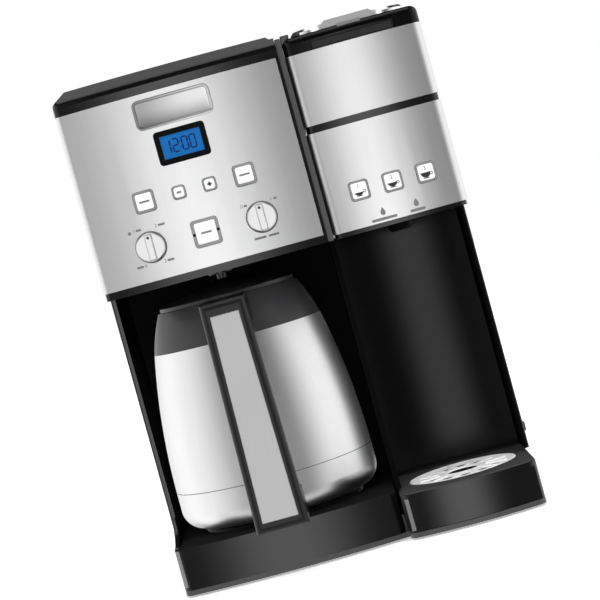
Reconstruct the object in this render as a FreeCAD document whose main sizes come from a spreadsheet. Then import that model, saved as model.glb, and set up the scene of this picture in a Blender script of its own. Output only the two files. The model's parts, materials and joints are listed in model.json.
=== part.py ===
import FreeCAD, Part
import math
import os
import re
import Sketcher

# Coffee maker with a drip side, a single-cup side and a thermal carafe.
# Millimetres, +Z up, front towards -Y, origin at the middle of the footprint.
# Distances to the front are kept as positive numbers and used with a minus sign.

doc = FreeCAD.newDocument("CoffeeMaker")
sheet = doc.addObject("Spreadsheet::Sheet", "Sizes")
aliases = []
pieces = []

# Height of a quarter circle's arc over its chord, as a share of the radius
QUARTER = 1 - math.sqrt(0.5)


def sizes(*rows):
    """Put rows of (name, value, meaning) on the sheet of driving sizes."""
    for name, value, meaning in rows:
        aliases.append(name)
        row = len(aliases)
        sheet.set(f"A{row}", meaning)
        sheet.set(f"B{row}", str(value))
        sheet.setAlias(f"B{row}", name)
    doc.recompute()


def number(expression):
    """Value of an expression in sheet names."""
    return float(sheet.evalExpression(str(expression)))


def bound(expression):
    """The same expression with each sheet name made full, for setExpression."""
    return re.sub(r"[a-z][a-z_0-9]*", lambda found: "Sizes." + found.group() if found.group() in aliases
                  else found.group(), str(expression))


def fix(sketch, kind, *target):
    """Add one constraint whose last argument is a sheet expression."""
    expression = target[-1]
    index = sketch.addConstraint(Sketcher.Constraint(kind, *target[:-1], number(expression)))
    sketch.setExpression(f"Constraints[{index}]", bound(expression))


class Circle:
    """Round loop of a sketch."""

    def __init__(self, across, along, radius):
        self.centre = (across, along)
        self.radius = radius

    def draw(self, sketch):
        centre = FreeCAD.Vector(number(self.centre[0]), number(self.centre[1]), 0)
        edge = sketch.addGeometry(Part.Circle(centre, FreeCAD.Vector(0, 0, 1), number(self.radius)), False)
        fix(sketch, "DistanceX", -1, 1, edge, 3, self.centre[0])
        fix(sketch, "DistanceY", -1, 1, edge, 3, self.centre[1])
        fix(sketch, "Radius", edge, self.radius)


class Outline:
    """Closed or open run of lines and arcs through corner points.

    A third value on a point makes the stretch that leads to it an arc, and is how far
    that arc bows out to the right of its chord.
    """

    def __init__(self, *points, closed=True):
        self.points = points
        self.closed = closed

    def stretches(self):
        count = len(self.points)
        first = 0 if self.closed else 1
        return [(self.points[index - 1], self.points[index]) for index in range(first, count)]

    def draw(self, sketch):
        ends = []
        for start, stop in self.stretches():
            ends.append(self.stretch(sketch, start, stop))
        for index, (edge, head, tail) in enumerate(ends):
            fix(sketch, "DistanceX", -1, 1, edge, tail, self.stretches()[index][1][0])
            fix(sketch, "DistanceY", -1, 1, edge, tail, self.stretches()[index][1][1])
            if self.closed or index:
                before = ends[index - 1]
                sketch.addConstraint(Sketcher.Constraint("Coincident", before[0], before[2], edge, head))
            else:
                fix(sketch, "DistanceX", -1, 1, edge, head, self.points[0][0])
                fix(sketch, "DistanceY", -1, 1, edge, head, self.points[0][1])

    def stretch(self, sketch, start, stop):
        a = FreeCAD.Vector(number(start[0]), number(start[1]), 0)
        b = FreeCAD.Vector(number(stop[0]), number(stop[1]), 0)
        if len(stop) == 2:
            return sketch.addGeometry(Part.LineSegment(a, b), False), 1, 2
        chord = b - a
        bow = number(stop[2])
        crown = (a + b) * 0.5 + FreeCAD.Vector(chord.y, -chord.x, 0) * (bow / chord.Length)
        forward = bow > 0
        edge = sketch.addGeometry(Part.Arc(a, crown, b) if forward else Part.Arc(b, crown, a), False)
        across = f"({stop[0]} - ({start[0]}))"
        along = f"({stop[1]} - ({start[1]}))"
        depth = f"abs({stop[2]})"
        fix(sketch, "Radius", edge, f"({across} ^ 2 + {along} ^ 2 + 4 * {depth} ^ 2) / (8 * {depth})")
        return (edge, 1, 2) if forward else (edge, 2, 1)


def rectangle(left, low, right, high):
    """Rectangle between two corners."""
    return Outline((left, low), (right, low), (right, high), (left, high))


def rounded(left, low, right, high, radius, front=True):
    """Rectangle with quarter-round corners, or with square corners on its lower side."""
    bow = f"({radius}) * {QUARTER}"
    foot = [(left, low), (right, low)]
    if front:
        foot = [(left, f"{low} + {radius}"), (f"{left} + {radius}", low, bow),
                (f"{right} - ({radius})", low), (right, f"{low} + {radius}", bow)]
    return Outline(
        *foot,
        (right, f"{high} - ({radius})"),
        (f"{right} - ({radius})", high, bow),
        (f"{left} + {radius}", high),
        (left, f"{high} - ({radius})", bow),
    )


def square(across, along, side):
    """Square round a centre."""
    half = f"{side} / 2"
    return rectangle(f"{across} - {half}", f"{along} - {half}", f"{across} + {half}", f"{along} + {half}")


class Piece:
    """One sub-part: a body whose features take their sizes from the sheet."""

    def __init__(self, label):
        self.body = doc.addObject("PartDesign::Body", label)
        self.body.Label = label
        self.body.AllowCompound = True
        self.count = 0
        pieces.append(self.body)

    def name(self, word):
        self.count += 1
        return f"{self.body.Name}_{word}_{self.count}"

    def origin(self, role):
        return [item for item in self.body.Origin.OriginFeatures if item.Role == role][0]

    def sketch(self, plane, offset, loops):
        drawn = self.body.newObject("Sketcher::SketchObject", self.name("sketch"))
        drawn.AttachmentSupport = [(self.origin(plane + "_Plane"), "")]
        drawn.MapMode = "FlatFace"
        drawn.setExpression(".AttachmentOffset.Base.z", bound(offset))
        for loop in loops:
            loop.draw(drawn)
        return drawn

    def prism(self, kind, plane, low, high, loops):
        offset = f"-({high})" if plane == "XZ" else low
        drawn = self.sketch(plane, offset, loops)
        feature = self.body.newObject(kind, self.name(kind.split("::")[1].lower()))
        feature.Profile = drawn
        feature.setExpression("Length", bound(f"{high} - ({low})"))
        return feature

    def pad(self, plane, low, high, *loops):
        """Solid between two levels: Z on the XY plane, Y on XZ and X on YZ."""
        feature = self.prism("PartDesign::Pad", plane, low, high, loops)
        doc.recompute()
        return feature

    def cut(self, plane, low, high, *loops):
        """Remove the same kind of prism, and make sure that it removed something."""
        before = self.body.Shape.Volume
        feature = self.prism("PartDesign::Pocket", plane, low, high, loops)
        feature.Reversed = True
        doc.recompute()
        self.compare(before, feature)
        return feature

    def compare(self, before, feature):
        if self.body.Shape.Volume > before - 1e-3:
            raise ValueError(f"{feature.Name} cuts nothing")

    def turn(self, *loops):
        """Revolve a profile of (radius, height) about the body's upright axis."""
        return self.revolve("PartDesign::Revolution", loops)

    def groove(self, *loops):
        """Turn a profile out of the body, and make sure that it removed something."""
        before = self.body.Shape.Volume
        feature = self.revolve("PartDesign::Groove", loops)
        self.compare(before, feature)
        return feature

    def revolve(self, kind, loops):
        drawn = self.sketch("XZ", "0", loops)
        feature = self.body.newObject(kind, self.name(kind.split("::")[1].lower()))
        feature.Profile = drawn
        feature.ReferenceAxis = (drawn, ["V_Axis"])
        feature.Angle = 360
        doc.recompute()
        return feature

    def sweep(self, plane, offset, path, radius):
        """Round rod along an open outline, whose first stretch is straight."""
        spine = self.sketch(plane, offset, [path])
        doc.recompute()
        start = spine.Shape.Vertexes[0].Point
        section = self.body.newObject("Sketcher::SketchObject", self.name("sketch"))
        section.AttachmentSupport = [(spine, "Edge1")]
        section.MapMode = "NormalToEdge"
        Circle("0", "0", radius).draw(section)
        feature = self.body.newObject("PartDesign::AdditivePipe", self.name("pipe"))
        feature.Profile = section
        feature.Spine = spine
        doc.recompute()
        if not feature.Shape.BoundBox.isInside(start):
            raise ValueError(f"{feature.Name} misses its path")
        return feature

    def edges(self, places):
        """Names of the edges that lie in the given planes, such as x and y for an upright edge.

        A place may also say that the edge lies in front of a line.
        """
        picked = []
        for index, edge in enumerate(self.body.Shape.Edges, 1):
            box = edge.BoundBox
            spans = {"x": (box.XMin, box.XMax), "y": (box.YMin, box.YMax), "z": (box.ZMin, box.ZMax)}
            for place in places:
                planes = [(axis, value) for axis, value in place.items() if axis != "front"]
                near = all(abs(end - number(value)) < 0.02 for axis, value in planes for end in spans[axis])
                if near and box.YMax < number(place.get("front", "rear_y")) + 0.02:
                    picked.append(f"Edge{index}")
                    break
        if not picked:
            raise ValueError(f"no edge of {self.body.Label} lies at {places}")
        return picked

    def dress(self, kind, measure, radius, places):
        base = self.body.Tip
        picked = self.edges(places)
        feature = self.body.newObject(kind, self.name(kind.split("::")[1].lower()))
        feature.Base = (base, picked)
        feature.setExpression(measure, bound(radius))
        self.body.Tip = feature
        doc.recompute()
        return feature

    def round(self, radius, *places):
        """Fillet the edges found at the given places."""
        return self.dress("PartDesign::Fillet", "Radius", radius, places)

    def bevel(self, size, *places):
        """Chamfer the edges found at the given places."""
        return self.dress("PartDesign::Chamfer", "Size", size, places)

    def row(self, feature, axis, length, count):
        """Repeat a feature along an axis of the body."""
        pattern = self.body.newObject("PartDesign::LinearPattern", self.name("row"))
        pattern.Originals = [feature]
        pattern.Direction = (self.origin(axis + "_Axis"), [""])
        pattern.setExpression("Length", bound(length))
        pattern.setExpression("Occurrences", bound(count))
        self.body.Tip = pattern
        doc.recompute()
        return pattern

    def ring(self, feature, count):
        """Repeat a feature round the body's upright axis."""
        pattern = self.body.newObject("PartDesign::PolarPattern", self.name("ring"))
        pattern.Originals = [feature]
        pattern.Axis = (self.origin("Z_Axis"), [""])
        pattern.Angle = 360
        pattern.setExpression("Occurrences", bound(count))
        self.body.Tip = pattern
        doc.recompute()
        return pattern

    def place(self, across, along, height="0"):
        """Set the whole body down at a point."""
        for axis, value in zip("xyz", (across, along, height)):
            self.body.setExpression(f".Placement.Base.{axis}", bound(value))
        doc.recompute()


def group(label, solids):
    """Several separate solids in one sub-part."""
    for solid in solids:
        if solid in pieces:
            pieces.remove(solid)
    joined = doc.addObject("Part::Compound", label)
    joined.Label = label
    joined.Links = solids
    pieces.append(joined)
    doc.recompute()


def rod(name, radius, length, spot, turned=None):
    """Part cylinder from a spot, upright or turned onto another axis."""
    solid = doc.addObject("Part::Cylinder", name)
    solid.setExpression("Radius", bound(radius))
    solid.setExpression("Height", bound(length))
    if turned:
        solid.Placement.Rotation = FreeCAD.Rotation(FreeCAD.Vector(0, 0, 1), turned)
    for axis, value in zip("xyz", spot):
        solid.setExpression(f".Placement.Base.{axis}", bound(value))
    return solid


# Whole machine
sizes(
    ("half_width", 150, "half the overall width"),
    ("rear_y", 162, "rear face"),
    ("drip_right", 34, "right edge of the drip side"),
    ("pod_left", 39, "left edge of the single-cup side"),
    ("wall", 3, "moulded wall"),
    ("skin", 1, "sheet steel"),
    ("slack", 0.3, "gap between pieces that move apart"),
    ("pin_fit", 0.05, "radial clearance of a pin in its bore"),
    ("seat_gap", 0.1, "gap between curved faces that seat on each other"),
)

# Moulded tubs stand in from the outer faces by the steel and its seat
SEAT = "(skin + seat_gap)"

# Feet, bottom cover and base
sizes(
    ("foot_radius", 8, "rubber foot"),
    ("foot_height", 2, "rubber foot"),
    ("foot_inset", 22, "foot centre to the edges of the base"),
    ("plinth_top", 6, "top of the bottom cover"),
    ("vent_length", 46, "slot in the bottom cover"),
    ("vent_width", 4, "slot in the bottom cover"),
    ("vent_pitch", 10, "spacing of the slots"),
    ("vent_count", 6, "slots in the bottom cover"),
    ("vent_y", 60, "first slot behind the middle"),
    ("base_top", 40, "top deck of the base"),
    ("base_front", 104, "front corners of the base"),
    ("base_bow", 10, "how far the base front bows out"),
    ("base_corner", 7, "upright corner radius of the base"),
    ("base_gap", 1, "base stands in from the right edge of the drip side"),
    ("boss_radius", 5, "screw boss"),
    ("screw_radius", 1.6, "housing screw shank"),
    ("screw_head", 3.2, "housing screw head radius"),
    ("screw_sunk", 2.2, "depth of the screw head in the cover"),
    ("screw_length", 16, "housing screw under its head"),
    ("screw_inset", 26, "screw to the edges of the base"),
)

# Drip tray of the single-cup side
sizes(
    ("tray_left", 35.5, "left face of the tray"),
    ("tray_right", 146.5, "right face of the tray"),
    ("tray_front", 119, "front corners of the tray"),
    ("tray_bow", 9, "how far the tray front bows out"),
    ("tray_rear", 4, "rear face of the tray in front of the middle"),
    ("tray_top", 38, "rim of the tray"),
    ("tray_floor", 3, "tray floor"),
    ("tray_corner", 8, "upright front corners of the tray"),
    ("tray_rim", 5, "height of the rim over the tray's front panel"),
    ("tray_recess", 1, "front panel stands in under the rim"),
    ("tray_edge", 1, "bevelled front edge of the rim"),
    ("cup_x", 91, "cup axis"),
    ("cup_y", -62, "cup axis"),
    ("grid_radius", 45, "round drip plate"),
    ("grid_thick", 2, "drip plate"),
    ("grid_drop", 0.8, "plate lies below the deck"),
    ("grid_ledge", 3, "ledge that carries the plate"),
    ("grid_hole", 9, "half length of the middle hole"),
    ("grid_hole_bow", 3.2, "bow of the ends of the middle hole"),
    ("grid_slot", 11, "length of one slot"),
    ("grid_slot_width", 4, "width of one slot"),
    ("grid_slots", 8, "slots in one ring"),
    ("grid_ring", 29, "middle of the ring of slots"),
)


def rubber_feet():
    left = "-half_width + foot_inset"
    right = "half_width - foot_inset"
    front = "-base_front + foot_inset"
    rear = "rear_y - foot_inset"
    feet = []
    for number_of, spot in enumerate(((left, front), (right, front), (left, rear), (right, rear))):
        feet.append(rod(f"foot_{number_of}", "foot_radius", "foot_height", (*spot, "0")))
    group("rubber_feet", feet)


def screw_spots():
    left = "-half_width + screw_inset"
    middle = "drip_right - screw_inset"
    right = "half_width - screw_inset"
    front = "-base_front + screw_inset + foot_inset"
    rear = "rear_y - screw_inset - foot_inset"
    return (left, front), (middle, front), (left, rear), (right, rear)


def base_plan():
    """Base outline: bowed front on the drip side, and a wing behind the tray."""
    return Outline(
        ("-half_width", "rear_y"),
        ("-half_width", "-base_front"),
        ("drip_right - base_gap", "-base_front", "base_bow"),
        ("drip_right - base_gap", "-tray_rear + slack"),
        ("half_width - side_inset", "-tray_rear + slack"),
        ("half_width - side_inset", "rear_y"),
    )


def bottom_cover():
    cover = Piece("bottom_cover")
    cover.pad("XY", "foot_height", "plinth_top", Outline(
        ("-half_width", "rear_y"),
        ("-half_width", "-base_front"),
        ("drip_right - base_gap", "-base_front", "base_bow"),
        ("tray_left", "-base_front"),
        ("tray_left", "-tray_front"),
        ("tray_right", "-tray_front", "tray_bow"),
        ("half_width - side_inset", "rear_y"),
    ))
    cover.round("base_corner", {"x": "-half_width", "y": "-base_front"})
    cover.round("tray_corner", *[{"x": across, "y": "-tray_front"} for across in ("tray_left", "tray_right")])
    slot = cover.cut("XY", "foot_height", "plinth_top", rectangle(
        "carafe_x - vent_length / 2", "vent_y", "carafe_x + vent_length / 2", "vent_y + vent_width"))
    cover.row(slot, "Y", "vent_pitch * (vent_count - 1)", "vent_count")
    for spot in screw_spots():
        cover.cut("XY", "foot_height", "plinth_top", Circle(*spot, "screw_radius + slack"))
        cover.cut("XY", "foot_height", "foot_height + screw_sunk", Circle(*spot, "screw_head + slack"))


def base_housing():
    base = Piece("base_housing")
    base.pad("XY", "plinth_top", "base_top", base_plan())
    base.round("base_corner", *[{"x": across, "y": "-base_front"} for across in (
        "-half_width", "drip_right - base_gap")])
    inside = "base_front - 2 * wall"
    base.cut("XY", "plinth_top", "base_top - wall", Outline(
        ("-half_width + wall", "rear_y - wall"),
        ("-half_width + wall", f"-({inside})"),
        ("drip_right - base_gap - wall", f"-({inside})", "base_bow - wall"),
        ("drip_right - base_gap - wall", "-tray_rear + slack + wall"),
        ("half_width - side_inset - wall", "-tray_rear + slack + wall"),
        ("half_width - side_inset - wall", "rear_y - wall"),
    ))
    for spot in screw_spots():
        base.pad("XY", "plinth_top", "base_top", Circle(*spot, "boss_radius"))
        base.cut("XY", "plinth_top", "plinth_top + screw_length", Circle(*spot, "screw_radius + pin_fit"))


def housing_screws():
    screws = []
    for index, spot in enumerate(screw_spots()):
        head = rod(f"screw_head_{index}", "screw_head", "screw_sunk - slack", (*spot, "foot_height + slack"))
        shank = rod(f"screw_shank_{index}", "screw_radius", "screw_length", (*spot, "foot_height + slack"))
        screw = doc.addObject("Part::Fuse", f"screw_{index}")
        screw.Base = head
        screw.Tool = shank
        screws.append(screw)
    group("housing_screws", screws)


def drip_tray():
    tray = Piece("drip_tray")
    tray.pad("XY", "plinth_top + slack", "tray_top", Outline(
        ("tray_left", "-tray_rear"),
        ("tray_left", "-tray_front"),
        ("tray_right", "-tray_front", "tray_bow"),
        ("tray_right", "-tray_rear"),
    ))
    tray.round("tray_corner", *[{"x": across, "y": "-tray_front"} for across in ("tray_left", "tray_right")])
    tray.bevel("tray_edge", {"z": "tray_top", "front": "-tray_front + tray_corner"})
    tray.cut("XY", "plinth_top + slack", "tray_top - tray_rim", Outline(
        ("tray_left", "-tray_front - 2 * tray_bow"),
        ("tray_right", "-tray_front - 2 * tray_bow"),
        ("tray_right", "-tray_front + tray_recess"),
        ("tray_left", "-tray_front + tray_recess", "-tray_bow"),
    ))
    tray.cut("XY", "plinth_top + tray_floor", "tray_top - grid_thick - grid_drop", Circle(
        "cup_x", "cup_y", "grid_radius - grid_ledge"))
    tray.cut("XY", "tray_top - grid_thick - grid_drop", "tray_top", Circle(
        "cup_x", "cup_y", "grid_radius + slack"))


def drip_plate():
    plate = Piece("drip_plate")
    top = "tray_top - grid_drop"
    plate.pad("XY", f"{top} - grid_thick", top, Circle("0", "0", "grid_radius"))
    plate.cut("XY", f"{top} - grid_thick", top, Outline(
        ("-grid_hole", "-grid_slot_width", "grid_hole_bow"),
        ("grid_hole", "-grid_slot_width"),
        ("grid_hole", "grid_slot_width", "grid_hole_bow"),
        ("-grid_hole", "grid_slot_width"),
    ))
    slot = plate.cut("XY", f"{top} - grid_thick", top, rectangle(
        "-grid_slot_width / 2", "grid_ring - grid_slot / 2",
        "grid_slot_width / 2", "grid_ring + grid_slot / 2"))
    plate.ring(slot, "grid_slots")
    plate.place("cup_x", "cup_y")


# Carafe rest and flow heater
sizes(
    ("carafe_x", -58.5, "carafe axis"),
    ("carafe_y", -26, "carafe axis"),
    ("rest_radius", 67, "round carafe rest"),
    ("rest_height", 3.7, "round carafe rest"),
    ("rest_rim", 4, "width of the raised rim of the rest"),
    ("rest_dish", 1, "depth of the rest inside its rim"),
    ("rest_bevel", 1, "bevelled edges of the rim"),
    ("heater_tube", 8, "half thickness of the heater"),
    ("heater_bend", 34, "bend of the U-shaped heater"),
    ("heater_leg", 50, "straight leg of the heater"),
)


def carafe_plate():
    rest = Piece("carafe_plate")
    rest.turn(Outline(
        ("0", "base_top"),
        ("rest_radius", "base_top"),
        ("rest_radius", "base_top + rest_height - rest_bevel"),
        ("rest_radius - rest_bevel", "base_top + rest_height"),
        ("rest_radius - rest_rim", "base_top + rest_height"),
        ("rest_radius - rest_rim - rest_bevel", "base_top + rest_height - rest_dish"),
        ("0", "base_top + rest_height - rest_dish"),
    ))
    rest.place("carafe_x", "carafe_y")


def heater():
    """U-shaped flow heater under the carafe rest."""
    block = Piece("heater")
    outer = "(heater_bend + heater_tube)"
    inner = "(heater_bend - heater_tube)"
    block.pad("XY", "base_top - wall - 2 * heater_tube", "base_top - wall", Outline(
        (f"-{outer}", "heater_leg"),
        (f"-{outer}", "0"),
        ("0", f"-{outer}", f"{outer} * {QUARTER}"),
        (outer, "0", f"{outer} * {QUARTER}"),
        (outer, "heater_leg"),
        (inner, "heater_leg"),
        (inner, "0"),
        ("0", f"-{inner}", f"-{inner} * {QUARTER}"),
        (f"-{inner}", "0", f"-{inner} * {QUARTER}"),
        (f"-{inner}", "heater_leg"),
    ))
    block.place("carafe_x", "carafe_y")


# Side walls, divider and back panels
sizes(
    ("side_thick", 4, "side wall"),
    ("side_front", 59, "front edge of the side walls"),
    ("side_toe", 11, "height at which the front edge starts to run forward"),
    ("side_reach", 36, "how far the toe runs forward"),
    ("side_inset", 1.5, "right wall stands in from the head"),
    ("side_edge", 1.5, "rounded front edge of a side wall"),
    ("nub_low", 54, "underside of the nub on the right wall"),
    ("nub_high", 62, "top of the nub"),
    ("nub_length", 16, "length of the nub"),
    ("nub_edge", 1.3, "rounded edges of the nub"),
    ("bay_back", 58, "back panel of the carafe bay at its edges"),
    ("bay_hollow", 7, "how far the back panel curves away"),
    ("panel_thick", 4, "back panel"),
    ("tower_edge", 14, "tower panel in front of the middle at its edges"),
    ("tower_hollow", 10, "how far the tower panel curves away"),
    ("head_floor", 246, "underside of both heads"),
    ("tank_rest", 180, "shelf that the cup-side tank stands on"),
    ("tank_back", 94, "rear of the cup-side head, in front of its tank"),
    ("rear_thick", 4, "rear panel"),
    ("louvre_length", 60, "rear vent slot"),
    ("louvre_width", 4, "rear vent slot"),
    ("louvre_pitch", 9, "rear vent spacing"),
    ("louvre_count", 6, "rear vent slots"),
    ("louvre_z", 150, "lowest rear vent slot"),
    ("cord_hole", 6, "cord hole radius"),
    ("cord_x", -110, "cord hole"),
    ("cord_z", 58, "cord hole"),
    ("gland_flange", 10, "gland flange radius"),
    ("gland_bore", 3.6, "gland bore radius"),
    ("divider_top", 412, "top of the divider between the heads"),
    ("divider_front", 96, "front edge of the divider between the heads"),
)


def left_side_panel():
    side = Piece("left_side_panel")
    side.pad("YZ", "-half_width", "-half_width + side_thick", Outline(
        ("rear_y - rear_thick", "base_top"),
        ("rear_y - rear_thick", "head_floor"),
        ("-side_front", "head_floor"),
        ("-side_front", "base_top + side_toe"),
        ("-side_front - side_reach", "base_top", "-side_toe / 4"),
    ))
    side.round("side_edge", {"x": "-half_width", "y": "-side_front"})


def right_side_panel():
    outside = "half_width - side_inset"
    side = Piece("right_side_panel")
    side.pad("YZ", f"{outside} - side_thick", outside, Outline(
        ("rear_y - rear_thick", "base_top"),
        ("rear_y - rear_thick", "tank_rest"),
        ("tank_back", "tank_rest"),
        ("tank_back", "head_floor"),
        ("-side_front", "head_floor"),
        ("-side_front", "base_top + slack"),
        ("-tray_rear", "base_top + slack"),
        ("-tray_rear", "base_top"),
    ))
    side.round("side_edge", {"x": outside, "y": "-side_front"})
    side.pad("YZ", outside, "half_width", rectangle(
        "-side_front + side_edge", "nub_low", "-side_front + side_edge + nub_length", "nub_high"))
    side.round("nub_edge", {"x": "half_width", "z": "nub_low"}, {"x": "half_width", "z": "nub_high"})


def divider_panel():
    """Upright web between the two sides, carried up between the heads."""
    web = Piece("divider_panel")
    web.pad("YZ", "drip_right + slack", "pod_left - slack", Outline(
        ("rear_y - rear_thick", "base_top"),
        ("rear_y - rear_thick", "tank_rest"),
        ("tank_back", "tank_rest"),
        ("tank_back", "divider_top"),
        ("-divider_front", "divider_top"),
        ("-divider_front", "head_floor"),
        ("-side_front", "head_floor", "-side_toe"),
        ("-side_front", "base_top + side_toe"),
        ("-side_front - side_reach", "base_top + slack", "-side_toe / 4"),
        ("-tray_rear", "base_top + slack"),
        ("-tray_rear", "base_top"),
    ))


def bay_back_panel():
    back = Piece("bay_back_panel")
    back.pad("XY", "base_top", "head_floor", Outline(
        ("-half_width + side_thick", "bay_back"),
        ("drip_right + slack", "bay_back", "-bay_hollow"),
        ("drip_right + slack", "bay_back + panel_thick"),
        ("-half_width + side_thick", "bay_back + panel_thick", "bay_hollow"),
    ))


def tower_front_panel():
    right = "half_width - side_inset - side_thick"
    tower = Piece("tower_front_panel")
    tower.pad("XY", "base_top", "head_floor", Outline(
        ("pod_left - slack", "-tower_edge + panel_thick + tray_rear"),
        (right, "-tower_edge + panel_thick + tray_rear", "-tower_hollow"),
        (right, "-tower_edge + 2 * panel_thick + tray_rear"),
        ("pod_left - slack", "-tower_edge + 2 * panel_thick + tray_rear", "tower_hollow"),
    ))


def rear_panel():
    """Rear panel with vents and the shelf under the cup-side tank, bored for the tank's valve."""
    inner = "rear_y - rear_thick"
    back = Piece("rear_panel")
    back.pad("XZ", inner, "rear_y", Outline(
        ("-half_width", "base_top"),
        ("half_width - side_inset", "base_top"),
        ("half_width - side_inset", "tank_rest"),
        ("drip_right", "tank_rest"),
        ("drip_right", "head_floor"),
        ("-half_width", "head_floor"),
    ))
    slot = back.cut("XZ", inner, "rear_y", rectangle(
        "carafe_x - louvre_length / 2", "louvre_z",
        "carafe_x + louvre_length / 2", "louvre_z + louvre_width"))
    back.row(slot, "Z", "louvre_pitch * (louvre_count - 1)", "louvre_count")
    back.cut("XZ", inner, "rear_y", Circle("cord_x", "cord_z", "cord_hole"))
    back.pad("XY", "tank_rest - panel_thick", "tank_rest", rectangle(
        "pod_left - slack", "tank_back", "half_width - side_inset - side_thick", inner))
    back.cut("XY", "tank_rest - panel_thick", "tank_rest", Circle(
        "boiler_x", "(tank_back + rear_y) / 2", "nipple_radius + slack"))


def cord_gland():
    """Bush in the cord hole, flush behind and flanged inside."""
    inner = "rear_y - rear_thick"
    gland = Piece("cord_gland")
    gland.pad("XZ", f"{inner} - wall", inner, Circle("cord_x", "cord_z", "gland_flange"))
    gland.pad("XZ", inner, "rear_y", Circle("cord_x", "cord_z", "cord_hole - pin_fit"))
    gland.cut("XZ", f"{inner} - wall", "rear_y", Circle("cord_x", "cord_z", "gland_bore"))


# Drip-side head: tub, steel control panel and controls
sizes(
    ("head_front", 102, "front corners of the control panel"),
    ("head_bow", 10, "how far the control panel bows out"),
    ("head_corner", 6, "left upright corner of the control panel"),
    ("head_top", 397.5, "rim of the tub"),
    ("panel_low", 252.2, "lower edge of the control panel"),
    ("panel_wrap", 60, "where the steel ends on the left side"),
    ("panel_edge", 2.4, "tub edge that shows right of the control panel"),
    ("control_x", -57.2, "middle line of the controls"),
    ("upper_row", 315, "height of the upper buttons"),
    ("lower_row", 279, "height of the knobs and the start button"),
    ("outer_reach", 41, "outer buttons from the middle line"),
    ("inner_reach", 12.5, "inner buttons from the middle line"),
    ("knob_reach", 45.4, "knobs from the middle line"),
    ("wide_button", 17, "outer button side"),
    ("small_button", 10.6, "inner button side"),
    ("start_button", 21.7, "start button side"),
    ("button_stand", 1.6, "button stands out of the panel"),
    ("button_travel", 1.5, "button travel"),
    ("button_corner", 2.4, "corner radius of a button"),
    ("button_edge", 0.5, "bevelled front edge of a button"),
    ("button_flange", 1.5, "flange that keeps a button in"),
    ("stem_radius", 3, "button stem"),
    ("flange_set", 7, "button flange behind the panel face"),
    ("stem_reach", 12.8, "end of a button stem behind the panel face"),
    ("board_thick", 1.6, "control board"),
    ("board_left", -126, "control board"),
    ("board_right", 10, "control board"),
    ("board_low", 260, "control board"),
    ("board_high", 334, "control board"),
    ("knob_radius", 11.6, "knob"),
    ("knob_depth", 7, "knob"),
    ("knob_grip", 3, "grip bar on the knob"),
    ("knob_grip_width", 6, "grip bar on the knob"),
    ("knob_grip_half", 10.4, "half length of the grip bar"),
    ("knob_edge", 0.8, "worked edges of the knob"),
    ("shaft_radius", 4, "knob shaft"),
    ("screen_z", 351.5, "middle of the display"),
    ("bezel_width", 41.6, "display bezel"),
    ("bezel_height", 27.3, "display bezel"),
    ("bezel_rim", 4.4, "display bezel border"),
    ("bezel_lip", 2, "part of the border that lies on the panel"),
    ("bezel_stand", 1.4, "bezel stands out of the panel"),
    ("bezel_corner", 3, "bezel corner radius"),
    ("bezel_depth", 8, "bezel behind the panel face"),
    ("screen_depth", 5, "display behind the panel face"),
    ("drip_hole", 12, "hole under the basket"),
    ("ring_radius", 34, "ring that carries the basket holder"),
    ("ring_top", 259, "ring that carries the basket holder"),
    ("lid_axis_y", 154, "lid hinge"),
    ("lid_axis_z", 406, "lid hinge"),
    ("ear_radius", 5, "hinge ear and barrel"),
    ("ear_thick", 6, "hinge ear"),
    ("hinge_pin", 2, "hinge pin radius"),
    ("hinge_pin_length", 20, "hinge pin"),
    ("riser_x", 20, "riser hose"),
    ("riser_y", 80, "riser hose"),
    ("feed_x", -100, "feed hose"),
    ("feed_y", 110, "feed hose"),
    ("hose_radius", 5, "water hose"),
)

PANEL_FACE = "-(head_front + head_bow)"
BOARD_SET = "(stem_reach + button_travel + slack)"


def head_plan(inset):
    """Tub outline, drawn in from the steel by an inset."""
    return Outline(
        (f"-half_width + {inset}", "rear_y"),
        (f"-half_width + {inset}", f"-head_front + {inset}"),
        ("drip_right", f"-head_front + {inset}", "head_bow"),
        ("drip_right", "rear_y"),
    )


def panel_face(shift):
    """Place of the bowed panel at a shift from its middle line."""
    return f"({PANEL_FACE} + head_bow * (({shift}) / (half_width + control_x)) ^ 2)"


def button_hole(across, along, side):
    """Hole for a button, with its rounded corners and the slack all round."""
    half = f"({side} / 2 + slack)"
    return rounded(f"{across} - {half}", f"{along} - {half}", f"{across} + {half}", f"{along} + {half}",
                   "button_corner + slack")


def control_openings(piece, front, back):
    """Openings for the buttons, knob shafts and display, through one wall."""
    for shift, height, side in BUTTONS.values():
        piece.cut("XZ", front, back, button_hole(f"control_x + {shift}", height, side))
    for shift in ("-knob_reach", "knob_reach"):
        piece.cut("XZ", front, back, Circle(f"control_x + {shift}", "lower_row", "shaft_radius + slack"))
    piece.cut("XZ", front, back, display_frame("bezel_lip"))


def display_frame(inset):
    """Display rectangle, drawn in from the edge of the bezel."""
    return rectangle(
        f"control_x - bezel_width / 2 + {inset}", f"screen_z - bezel_height / 2 + {inset}",
        f"control_x + bezel_width / 2 - ({inset})", f"screen_z + bezel_height / 2 - ({inset})")


# Button name: shift from the middle line, height and side
BUTTONS = {
    "left_button": ("-outer_reach", "upper_row", "wide_button"),
    "hour_button": ("-inner_reach", "upper_row", "small_button"),
    "minute_button": ("inner_reach", "upper_row", "small_button"),
    "right_button": ("outer_reach", "upper_row", "wide_button"),
    "start_button": ("0", "lower_row", "start_button"),
}


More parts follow.
